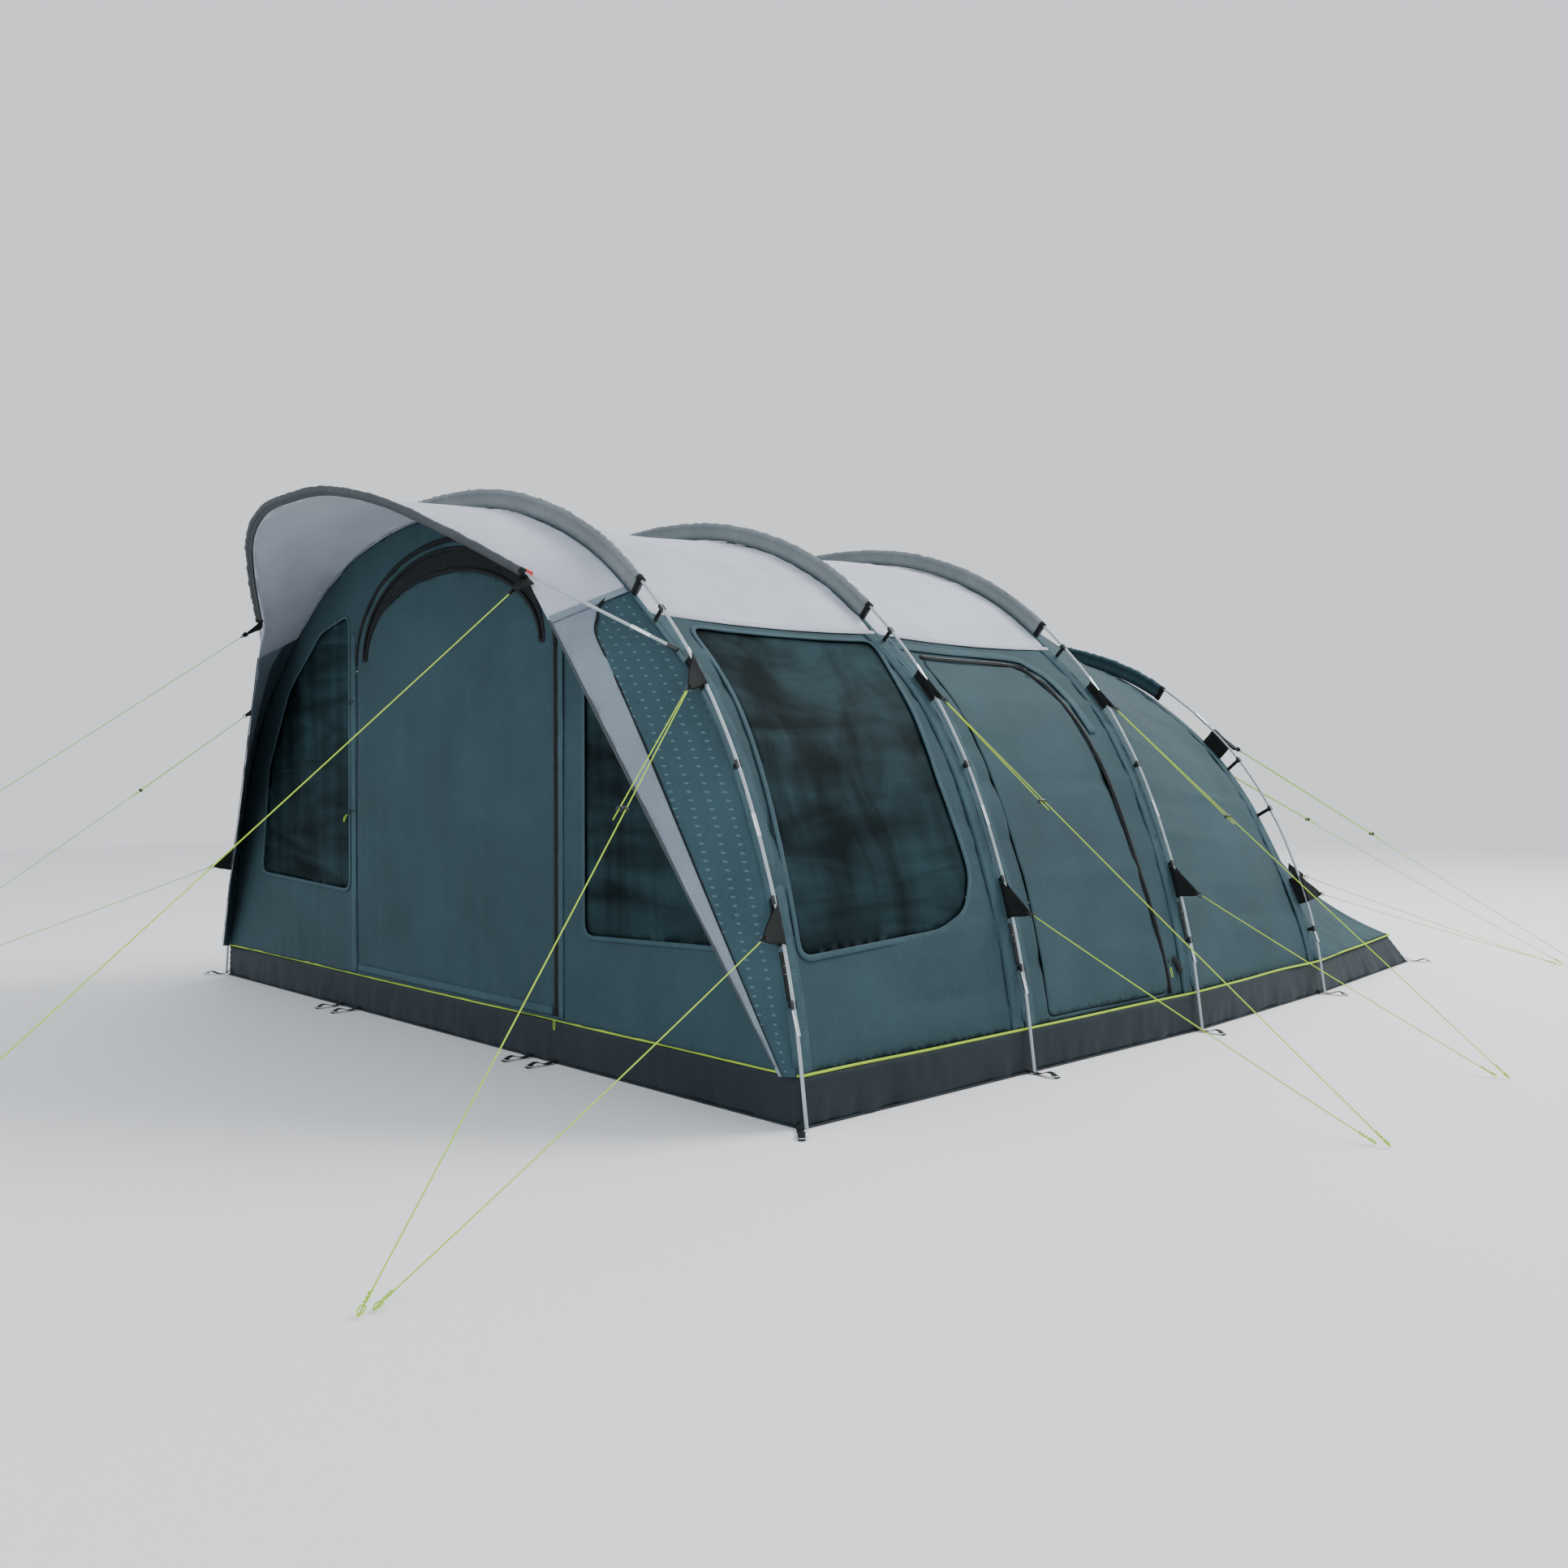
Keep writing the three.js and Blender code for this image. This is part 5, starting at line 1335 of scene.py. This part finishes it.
def makeSideDoor():
    bay = bays["middle"]
    size = (around, bay["length"])
    outline = reshaped(onWall(sideDoor, "middle"), 0.003)
    panel = clothPanel("side_door_cloth", bay["surface"], size, outline, mats["fly"],
                       relief=reliefOf(1.5, 1.1, 41, 0.6, 0.1), spacing=0.016, body=None,
                       poles=["wall_cloth_middle_right"], held="hung")
    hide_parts("side_door")
    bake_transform(panel)
    # a double line of black zip follows the door's free edges
    rim = np.array(onWall([(1.25, 1.509), (1.8, 1.509), (1.9, 1.45), (1.938, 1.363), (1.972, 1.13),
                           (1.985, .713), (2.014, .41), (2.04, .17)], "middle"))
    rim = curveThrough(rim, 60)
    ribbon("side_zip_tape", bay["surface"], size, rim, 0.024, mats["zip"], slot="fitting", lift=0.0028,
           wobble=0.001)
    zipCoil("side_zip_coil", linePaths(bay["surface"], size, rim, 0.02, 0.0062))
    piped = np.array(onWall([(1.12, 1.548), (1.8, 1.548), (1.94, 1.5), (2.0, 1.4), (2.02, 1.2)], "middle"))
    flap = curveThrough(piped, 50)
    ribbon("side_door_rain_flap", bay["surface"], size, flap, 0.045, mats["flyBand"], lift=0.004,
           wobble=0.0015)


makeSideDoor()
print("stage: side door")

# ---- reinforcement bands and straps beside the exposed legs of each pole

legs = {"bandWidth": 0.062, "clipWidth": 0.016, "fullClips": (0.36, 0.66, 1.06, 1.56),
        "tailClips": (0.3, 0.85, 1.08)}


def makeLegs():
    for name, bay, at in (("front", "front", 0.0), ("middle", "front", 1.0), ("middle", "middle", 0.0),
                          ("rear", "middle", 1.0), ("rear", "rear", 0.0), ("tail", "rear", 1.0)):
        surface, length = bays[bay]["surface"], bays[bay]["length"]
        size = (around, length)
        first = footShare if name != "tail" else float(shareAtHeight(tailArch, 0.153))
        top = hemShare - 0.002 if name != "tail" else sleeveLook["tailFrom"] / 2 + 0.01
        b = legs["bandWidth"] / 2 + 0.004 if at == 0 else length - legs["bandWidth"] / 2 - 0.004
        for side in (1, -1):
            span = [(first * around, b), (top * around, b)]
            if side < 0:
                span = [((1 - top) * around, b), ((1 - first) * around, b)]
            label = "%s_%s_%s" % (name, "ahead" if at else "behind", sideName(side))
            ribbon("leg_band_" + label, surface, size, span, legs["bandWidth"], mats["flyBand"], lift=0.0024,
                   wobble=0.0022, spacing=0.012, bow=0.002)
            stitchB = b + (legs["bandWidth"] / 2 - 0.006) * (1 if at == 0 else -1)
            path = linePaths(surface, size, [(span[0][0], stitchB), (span[1][0], stitchB)], 0.03, 0.0046)
            stitches("leg_stitches_" + label, [path], "fly")
    # tape over the seam under each pole
    for name in ("front", "middle", "rear", "tail"):
        arch = arches[name]
        u = np.linspace(footShare + 0.004, 1 - footShare - 0.004, 180)
        centre = flyPoint(name, u)
        _, _, tx, tz = archAt(arch, u)
        out = np.stack([tz, np.zeros_like(tz), -tx], -1)
        tape = swept("seam_tape_" + name, centre + out * 0.003, flatSection(0.022, 0.0018, 0.001),
                     mats["flyBand"], out)
        finish(tape, "tent", "flysheet")


def clip(name, point, tangent, inwards, toCloth):
    # a moulded C that snaps on the pole, with a tail of webbing to the seam
    tangent, inwards = unit(tangent), unit(inwards)
    side = unit(np.cross(tangent, inwards))
    angles = np.linspace(-0.8 * math.pi, 0.8 * math.pi, 18)
    outer = [(0.0095 * math.cos(a), 0.0095 * math.sin(a)) for a in angles]
    inner = [(0.0064 * math.cos(a), 0.0064 * math.sin(a)) for a in angles[::-1]]
    verts, faces = [], []
    ring = outer + inner
    n = len(ring)
    for k, along in enumerate((-0.013, -0.011, 0.011, 0.013)):
        shrink = 0.94 if k in (0, 3) else 1.0
        for a, b in ring:
            verts.append(point + tangent * along + inwards * a * shrink + side * b * shrink)
    for k in range(3):
        faces += [(k * n + i, k * n + (i + 1) % n, (k + 1) * n + (i + 1) % n, (k + 1) * n + i)
                  for i in range(n)]
    half = len(outer)
    for i in range(half - 1):
        faces.append((i, n - 1 - i, n - 2 - i, i + 1))
        top = 3 * n
        faces.append((top + i, top + i + 1, top + n - 2 - i, top + n - 1 - i))
    piece = meshFrom(name, verts, faces, np.array(verts)[:, :2], mats["moulded"])
    path = [point + inwards * t for t in np.linspace(0.0085, toCloth + 0.002, 8)]
    strap = swept(name + "_strap", path, flatSection(legs["clipWidth"], 0.0024), mats["strap"], side)
    return join([piece, strap], name)


def makeClips():
    for name in ("front", "middle", "rear", "tail"):
        heights = legs["tailClips"] if name == "tail" else legs["fullClips"]
        for side in (1, -1):
            for k, z in enumerate(heights):
                u, x, zz, tx, tz = spotAt(arches[name], z)
                point = np.array([side * x, hoopY[name], zz])
                piece = clip("pole_clip_%s_%s_%d" % (name, sideName(side), k + 1), point,
                             (side * tx, 0, tz), (-side * tz, 0, tx), float(insetOf(name, u)))
                finish(piece, "tent", "fitting")


makeLegs()
makeClips()
print("stage: bands and clips")

# ---- guy patches: a triangle of black cloth round the pole, with a ring at its tip

patchLook = {"height": 0.126, "tip": 0.018, "thick": 0.0024, "ring": 0.0095}


def patch(name, point):
    # two sewn layers that part round the pole and meet again at the tip
    pole, tangent, pull, inwards = point["pole"], unit(point["tangent"]), point["pull"], point["inwards"]
    root = pole + inwards * point["toCloth"]
    side = unit(np.cross(tangent, pull))
    objects = []
    stations = [(root, 0.0022, 1.0), (root + (pole - root) * 0.6, 0.005, 1.0), (pole, 0.0095, 1.0),
                (pole + pull * 0.03, 0.0045, 0.74), (pole + pull * 0.07, 0.0022, 0.42),
                (point["tip"] - pull * 0.006, 0.002, patchLook["tip"] / patchLook["height"])]
    centres = curveThrough([s[0] for s in stations], 22)
    widths = np.interp(np.linspace(0, 5, 22), range(6), [s[1] for s in stations])
    heights = np.interp(np.linspace(0, 5, 22), range(6), [s[2] for s in stations]) * patchLook["height"]
    for way in (1, -1):
        rows = 9
        verts, uvs = [], []
        for i, (c, w, h) in enumerate(zip(centres, widths, heights)):
            for j in range(rows):
                share = j / (rows - 1) - 0.5
                ripple = 0.0012 * math.sin(i * 1.1 + j * 1.9 + way)
                verts.append(c + side * way * (w + ripple * (1 if w > 0.003 else 0.4)) + tangent * share * h)
                uvs.append((i * 0.01, share * h))
        faces = gridFaces(22, rows)
        if way < 0:
            faces = [f[::-1] for f in faces]
        objects.append(meshFrom(name + "_layer", verts, faces, uvs, mats["strap"]))
    whole = join(objects, name)
    thicken(whole, patchLook["thick"] / 2)
    finish(whole, "tent", "fitting")
    tipRing(name, point["tip"], pull, side)


def tipRing(name, tip, pull, side):
    # the ring hangs in a fold of webbing and carries the line
    up = unit(np.cross(side, pull))
    ring = tube(name + "_ring", circleOf(tip + pull * 0.006, pull, up, patchLook["ring"], 28), 0.0018,
                mats["moulded"], 8, up=side, closed=True)
    fold = [tip - pull * 0.016 + side * 0.0035, tip - pull * 0.004 + side * 0.0035, tip + pull * 0.0005,
            tip - pull * 0.004 - side * 0.0035, tip - pull * 0.016 - side * 0.0035]
    web = swept(name + "_web", curveThrough(fold, 16), flatSection(0.014, 0.0016), mats["strap"], up)
    finish(join([ring, web], name + "_ring"), "tent", "fitting")


def flatPatch(name, point, along, height):
    root, pull, tip = point["root"], point["pull"], point["tip"]
    along = unit(along)
    side = unit(np.cross(along, pull))
    rows, steps = 7, 10
    verts, uvs = [], []
    for i in range(steps):
        t = i / (steps - 1)
        c = root - pull * 0.01 + (tip - root) * (0.02 + t * 0.95)
        h = height * (1 - t) + patchLook["tip"] * t
        for j in range(rows):
            share = j / (rows - 1) - 0.5
            verts.append(c + along * share * h + side * 0.0015 * math.sin(i * 1.3 + j * 2.1) * (1 - t))
            uvs.append((i * 0.01, share * h))
    obj = meshFrom(name, verts, gridFaces(steps, rows), uvs, mats["strap"])
    thicken(obj, 0.0026)
    finish(obj, "tent", "fitting")
    tipRing(name, tip, pull, side)


def makePatches():
    for name in ("front", "middle", "rear", "tail"):
        heights = (guy["tailUpperZ"], guy["tailLowerZ"]) if name == "tail" else (guy["upperZ"], guy["lowerZ"])
        for side in (1, -1):
            for level, z in zip(("upper", "lower"), heights):
                patch("guy_patch_%s_%s_%s" % (name, sideName(side), level), guyPoint(name, z, side))
    for side in (1, -1):
        label = sideName(side)
        for level, place in backPlaces.items():
            flatPatch("guy_patch_back_%s_%s" % (label, level), backPoint(place, side), (0, 0, 1), 0.08)
        flatPatch("guy_patch_porch_" + label, porchPoint(side), (-side * 0.8, 0, 0.6), 0.09)


makePatches()
print("stage: patches")

# ---- skirt, piping, pegging straps, groundsheet and bedroom

skirtStops = [(0, 4.8), (1.82, 4.772), (1.98, 3.412), (2.066, 2.19), (2.066, 1.09), (2.066, 0)]
skirtTops = [(0, 4.68), (1.76, 4.652), (1.971, 3.412), (2.057, 2.19), (2.057, 1.09), (2.057, 0.004)]
skirtLook = {"low": 0.0025, "high": 0.1485, "pipe": 0.0042, "strapLength": 0.13, "strapWidth": 0.022}


def ringOf(stops):
    right = [np.array([x, frontY + y]) for x, y in stops]
    return np.array(right + [np.array([-p[0], p[1]]) for p in right[:0:-1]])


def alongRing(ring, share, steps):
    points = np.vstack([ring, ring[:1]])
    share = np.asarray(share, float) % 1.0
    return np.stack([np.interp(share, steps, points[:, k]) for k in (0, 1)], -1)


footRing, topRing = ringOf(skirtStops), ringOf(skirtTops)
ringSteps = distances(np.vstack([footRing, footRing[:1]]))
ringLength = ringSteps[-1]
ringSteps = ringSteps / ringLength


def skirtSurface(u, v):
    u, v = np.broadcast_arrays(np.asarray(u, float), np.asarray(v, float))
    share = v[..., None]
    level = alongRing(footRing, u, ringSteps) * (1 - share) + alongRing(topRing, u, ringSteps) * share
    return np.concatenate([level, (skirtLook["low"] + (skirtLook["high"] - skirtLook["low"]) * v)[..., None]],
                          -1)


pegStraps = [(2.06, 0, .75, -.66), (2.06, 1.09, 1, 0), (2.06, 2.19, 1, 0), (1.975, 3.412, .95, .3),
             (1.814, 4.766, .8, .6), (.82, .004, 0, -1), (.67, .004, 0, -1)]


def skirtRelief(a, b):
    # slack cloth gathered at the pegs: soft vertical folds, stronger at the foot
    low = 1 - smooth(0, 0.13, b)
    return ((0.004 * noise(a / 0.09, b / 0.25, 91) + 0.003 * noise(a / 0.035, b / 0.12, 92))
            * (0.3 + 0.7 * low) - 0.002) * smooth(0, 0.01, 0.146 - b)


def makeSkirt():
    height = skirtLook["high"] - skirtLook["low"]
    clothPanel("skirt_cloth", skirtSurface, (ringLength, height), rectangle(0, ringLength, 0, height),
               mats["skirt"], relief=skirtRelief, spacing=0.016, replaces=["skirt"], slot="skirt_cloth",
               inside=(0, 0.2, 0.07))
    u = np.linspace(0, 1, 700, endpoint=False)
    top = skirtSurface(u, np.ones_like(u))
    middle = np.array([0, frontY + 2.4, 0])
    inward = (middle - top) * [1, 1, 0]
    inward /= np.linalg.norm(inward, axis=1, keepdims=True)
    wave = noise(u * ringLength / 0.4, u * 0, 95)[:, None] * [0, 0, 0.0025]
    out = 0.016 * smooth(3.0, 3.4, top[:, 1:2] - frontY) - 0.003
    pipe = tube("piping_cord", top - inward * out + [0, 0, 0.004] + wave, skirtLook["pipe"], mats["piping"],
                10, closed=True)
    finish(pipe, "tent", "guyline")
    hem = tube("skirt_hem", skirtSurface(u, np.zeros_like(u)) + [0, 0, 0.002], 0.003, mats["skirt"], 8,
               closed=True)
    finish(hem, "tent", "skirt_cloth")
    for side in (1, -1):
        for k, (x, y, dx, dy) in enumerate(pegStraps):
            start = np.array([side * x, frontY + y, 0.0])
            way = unit((side * dx, dy, 0))
            bend = [start - way * 0.006 + [0, 0, 0.022], start + way * 0.012 + [0, 0, 0.010],
                    start + way * 0.05 + [0, 0, 0.0055], start + way * 0.09 + [0, 0, 0.017],
                    start + way * (skirtLook["strapLength"] - 0.003) + [0, 0, 0.0032]]
            strap = swept("peg_strap", curveThrough(bend, 26),
                          flatSection(skirtLook["strapWidth"], 0.0022, 0.0008), mats["strap"])
            centre = start + way * (skirtLook["strapLength"] - 0.018) + [0, 0, 0.0072]
            across = np.array([-way[1], way[0], 0])
            eyelet = tube("peg_ring", circleOf(centre, way, across, 0.011, 26), 0.0017, mats["ferrule"], 8,
                          closed=True)
            name = "peg_strap_%s_%d" % (sideName(side), k + 1)
            finish(join([strap, eyelet], name), "tent", "fitting")


def makeFloor():
    inset = np.array([(np.sign(x) * (abs(x) - 0.045), y + (0.045 if y < frontY + 0.1
                                                           else (-0.165 if y > frontY + 4 else 0))) for x,
                      y in footRing])

    def ground(u, v):
        u, v = np.asarray(u, float), np.asarray(v, float)
        return np.stack([u, v, np.full_like(u, 0.0036)], -1)
    clothPanel("groundsheet_cloth", ground, flat, inset[::-1], mats["floor"], spacing=0.07,
               slot="groundsheet", replaces=["groundsheet_floor"], inside=(0, 0, -1), held="laid",
               relief=lambda a, b: 0.0012 * (1 + noise(a / 0.3, b / 0.3, 97)) * 0.5)

    def rim(u, v):
        u, v = np.broadcast_arrays(np.asarray(u, float), np.asarray(v, float))
        return np.concatenate([alongRing(inset, u, ringSteps), (0.006 + v * 0.074)[..., None]], -1)
    clothPanel("groundsheet_rim", rim, (ringLength, 0.074), rectangle(0, ringLength, 0, 0.074), mats["floor"],
               spacing=0.03, slot="groundsheet", inside=(0, 0.2, 0.04), poles=["skirt_cloth"],
               replaces=["groundsheet_rim_" + part for part in ("front", "back", "right", "left")],
               relief=lambda a, b: -0.003 - 0.003 * noise(a / 0.12, b / 0.2, 98))


bedroomLook = {"from": 2.48, "to": 4.25, "inset": 0.22, "footZ": 0.072, "slopeFrom": 3.312, "slopeRun": 1.36}


def bedroomSurface(u, v):
    u, v = np.broadcast_arrays(np.asarray(u, float), np.asarray(v, float))
    y = bedroomLook["from"] + v * (bedroomLook["to"] - bedroomLook["from"])
    slope = np.clip((y - bedroomLook["slopeFrom"]) / bedroomLook["slopeRun"], 0, None)
    x, z, tx, tz = archAt(tailArch, 0.02 + 0.96 * u)
    x, z = x - tz * bedroomLook["inset"], z + tx * bedroomLook["inset"]
    return np.stack([x * (1 - slope / 6), frontY + y, np.maximum(z * (1 - slope), bedroomLook["footZ"])], -1)


bedroomSize = (4.3, 1.77)


def makeBedroom():
    clothPanel("bedroom_cloth", bedroomSurface, bedroomSize, rectangle(0, bedroomSize[0], 0, bedroomSize[1]),
               mats["inner"], spacing=0.04, relief=reliefOf(bedroomSize[0], bedroomSize[1], 101, 1.6),
               replaces=["bedroom"], slot="inner_cloth", held="hung", inside=(0, frontY + 3.3, 0.4))
    u = np.linspace(0, 1, 70)
    edge = bedroomSurface(u, np.zeros_like(u))
    outline = [(float(p[0]), float(p[2])) for p in edge]
    doorway = [(1.1, .172), (-1.1, .172), (-1.0, .9), (-.62, 1.24), (.62, 1.24), (1.0, .9)]

    def wall(u, v):
        u, v = np.asarray(u, float), np.asarray(v, float)
        return np.stack([u, np.full_like(u, frontY + bedroomLook["from"]), v], -1)
    clothPanel("bedroom_front", wall, flat, outline, mats["inner"], [rounded(doorway, 0.1)], spacing=0.04,
               relief=lambda a, b: 0.006 * noise(a / 0.2, b / 0.9, 103), slot="inner_cloth", held="hung",
               inside=(0, frontY + 3.3, 0.4), poles=["bedroom_cloth"])


makeSkirt()
makeFloor()
makeBedroom()
print("stage: skirt, groundsheet and bedroom")

# ---- small fittings


def pod(name, points, widths, thicks, material, up, sides=14):
    # a closed soft-cornered block along a line
    section = circleSection(1.0, sides)
    section = np.sign(section) * np.abs(section) ** 0.7
    sections = np.stack([section * [w / 2, t / 2] for w, t in zip(widths, thicks)])
    return swept(name, points, sections, material, up)


def makeSlider(name, at, along, out, body, node):
    # die-cast slider body with a hanging pull and a loop of cord
    at, along, out = np.array(at), unit(along), unit(out)
    across = np.cross(along, out)
    steps = np.array([-0.011, -0.0095, -0.004, 0.004, 0.0095, 0.011])
    shell = pod(name, [at + along * s for s in steps], [0.006, 0.0095, 0.0085, 0.0095, 0.01, 0.0065],
                [0.003, 0.0056, 0.006, 0.006, 0.0056, 0.003], mats["moulded"], out)
    bridge = tube(name + "_bridge", curveThrough([at + along * 0.007 + out * 0.002,
                                                  at + along * 0.003 + out * 0.006,
                                                  at - along * 0.003 + out * 0.006,
                                                  at - along * 0.007 + out * 0.002], 14), 0.0012,
                  mats["moulded"], 8, up=across)
    pull = pod(name + "_pull", [at - along * s + out * (0.0065 - s * 0.05)
                                for s in (0.002, 0.004, 0.02, 0.03, 0.032)],
               [0.004, 0.006, 0.006, 0.0085, 0.006], [0.001, 0.0018, 0.0018, 0.002, 0.001], mats["moulded"],
               out)
    loop = [at - along * s + out * 0.0055 + across * w for s,
            w in ((0.03, 0.001), (0.042, 0.005), (0.06, 0.0045), (0.068, 0), (0.06, -0.0045), (0.042, -0.005),
                  (0.03, -0.001))]
    cordLoop = tube(name + "_loop", curveThrough(loop, 30), 0.0011, mats["cord"], 7, up=out)
    finish(join([shell, bridge, pull, cordLoop], name), body, "fitting", [node])


def toggle(name, at, out, along):
    # a small turned toggle on a loop that holds a rolled panel back
    at, out, along = np.array(at), unit(out), unit(along)
    steps = np.array([-0.016, -0.0145, -0.006, 0.006, 0.0145, 0.016])
    bar = pod(name, [at + out * 0.007 + along * s for s in steps],
              [0.003, 0.0075, 0.0062, 0.0062, 0.0075, 0.003], [0.003, 0.0075, 0.0062, 0.0062, 0.0075, 0.003],
              mats["moulded"], out)
    across = np.cross(along, out)
    points = [at + across * 0.03, at + across * 0.018 + out * 0.004, at + out * 0.0115,
              at - across * 0.018 + out * 0.004, at - across * 0.03]
    loop = tube(name + "_loop", curveThrough(points, 24), 0.0014, mats["strap"], 8, up=along)
    finish(join([bar, loop], name), "tent", "fitting")


def ladderBuckle(name, at, out, along):
    at, out, along = np.array(at), unit(out), unit(along)
    across = np.cross(along, out)
    at = at + out * 0.005
    outline = [at + across * x + along * z for x, z in ((-.011, -.012), (.011, -.012), (.011, .012),
                                                        (-.011, .012))]
    corners = []
    for a, b in zip(outline, outline[1:] + outline[:1]):
        corners += [a + (b - a) * 0.12, a + (b - a) * 0.5, a + (b - a) * 0.88]
    rim = tube(name, corners, 0.0019, mats["moulded"], 8, up=out, closed=True)
    bars = [tube(name + "_bar", [at - across * 0.011 + along * z, at + across * 0.011 + along * z], 0.0015,
                 mats["moulded"], 8, up=out) for z in (-0.004, 0.004)]
    run = [at - out * 0.003 + along * 0.055, at - out * 0.001 + along * 0.02, at + out * 0.0005,
           at - out * 0.001 - along * 0.02, at - out * 0.003 - along * 0.09]
    strap = swept(name + "_strap", curveThrough(run, 24), flatSection(0.017, 0.0018), mats["strap"], out)
    finish(join([rim, strap] + bars, name), "tent", "fitting")


def makeSmallFittings():
    makeSlider("front_door_zip", (0.829, frontY - 0.007, 0.19), (0, 0, 1), (0, -1, 0), "front_zip_slider",
               "front_door_slider")
    makeSlider("side_door_zip", tuple(centreOf("side_door_slider")), (-.2139, 0, .9769), (.9769, 0, .2139),
               "side_zip_slider", "side_door_slider")
    for k, z in enumerate((1.33, 0.86)):
        toggle("door_toggle_%d" % (k + 1), (frontDoor["left"] - 0.046, frontY - 0.005, z), (0, -1, 0),
               (0, 0, 1))
    for name in ("front", "middle", "rear"):
        for side in (1, -1):
            u, x, z, tx, tz = spotAt(fullArch, 0.46)
            reach = float(insetOf(name, u)) - 0.004
            at = np.array([side * (x - tz * reach), hoopY[name] + 0.002, z + tx * reach])
            ladderBuckle("ladder_buckle_%s_%s" % (name, sideName(side)), at, (side * tz, 0, -tx),
                         (side * tx, 0, tz))
    # the woven tag at the porch sleeve's mouth
    x, z, tx, tz = (float(q) for q in archAt(porchArch, porchHoop["sleeveFrom"] / 2 - 0.004))
    root = leanForward(x + tz * 0.012, z - tx * 0.012)
    down = leanForward(x + tz * 0.012 - tx * 0.026, z - tx * 0.012 - tz * 0.026) - root
    wide = unit(leanForward(x + tz, z - tx) - leanForward(x, z))
    verts, uvs = [], []
    for i in range(8):
        for j in range(6):
            bend = 0.002 * math.sin(i * 0.8 + j * 0.5)
            verts.append(root + down * i / 7 + wide * (j / 5 * 0.019 - 0.002)
                         + np.array([0, -0.0095 + bend, 0]))
            uvs.append((i * 0.004, j * 0.004))
    tag = meshFrom("sleeve_tag", verts, gridFaces(8, 6), uvs, mats["tag"])
    thicken(tag, 0.0014, -1)
    finish(tag, "tent", "fitting")
    # a pale lime loop beside the left door seam, and a cable flap low on the right wall
    loop = [np.array([-0.76 + x, frontY - 0.004 - y, 0.84 + z]) for x, y, z in
            ((0, 0, 0), (-0.006, 0.01, -0.012), (0, 0.014, -0.03), (0.007, 0.01, -0.012), (0.004, 0, 0))]
    finish(tube("pull_loop", curveThrough(loop, 30), 0.002, mats["piping"], 8, up=(1, 0, 0)), "tent",
           "guyline")
    bay = bays["middle"]
    size = (around, bay["length"])
    flap = onWall([(2.085, 0.30), (2.12, 0.24)], "middle")
    ribbon("cable_flap", bay["surface"], size, curveThrough([flap[0], (flap[0][0] - 0.02, flap[0][1] + 0.02),
                                                             flap[1]], 12), 0.03, mats["strap"],
           slot="fitting", lift=0.006, bow=0.004)


makeSmallFittings()
print("stage: small fittings")

# ---- floor, light and the last steps


def makeStage():
    material, tree = newMaterial("studio floor, pale matt", "fitting")
    shade(tree, None, None, {"Base Color": (0.80, 0.81, 0.82, 1), "Roughness": 0.9})
    ground = meshFrom("floor", [(-14, -14, 0), (14, -14, 0), (14, 14, 0), (-14, 14, 0)], [(0, 1, 2, 3)], None,
                      material)
    ground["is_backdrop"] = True
    world = bpy.data.worlds.new("pale sky")
    world.use_nodes = True
    world.node_tree.nodes["Background"].inputs[0].default_value = (0.90, 0.94, 1.0, 1)
    world.node_tree.nodes["Background"].inputs[1].default_value = 1.1
    scene.world = world
    for name, place, aim, size, power, colour in (
            ("key", (4.5, 6.0, 9.0), (0, 0, 0.8), 6.0, 1350, (1, 0.98, 0.95)),
            ("fill", (3.0, -9.5, 3.5), (0, 0, 0.8), 6.0, 200, (0.93, 0.96, 1.0)),
            ("top", (-2.0, 1.0, 9.0), (0, 0, 0), 6.0, 150, (1, 1, 1))):
        data = bpy.data.lights.new(name, "AREA")
        data.shape = "DISK"
        data.size = size
        data.energy = power
        data.color = colour
        lamp = bpy.data.objects.new(name, data)
        lamp.location = place
        lamp.rotation_euler = (Vector(aim) - Vector(place)).to_track_quat("-Z", "Y").to_euler()
        scene.collection.objects.link(lamp)
        lamp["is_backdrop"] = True


makeStage()
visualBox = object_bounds()
plain = lambda box: [[float(c) for c in point] for point in box]
{"cad": plain(cadBox), "visual": plain(visualBox)}
print("stage: size", plain(cadBox), plain(visualBox))
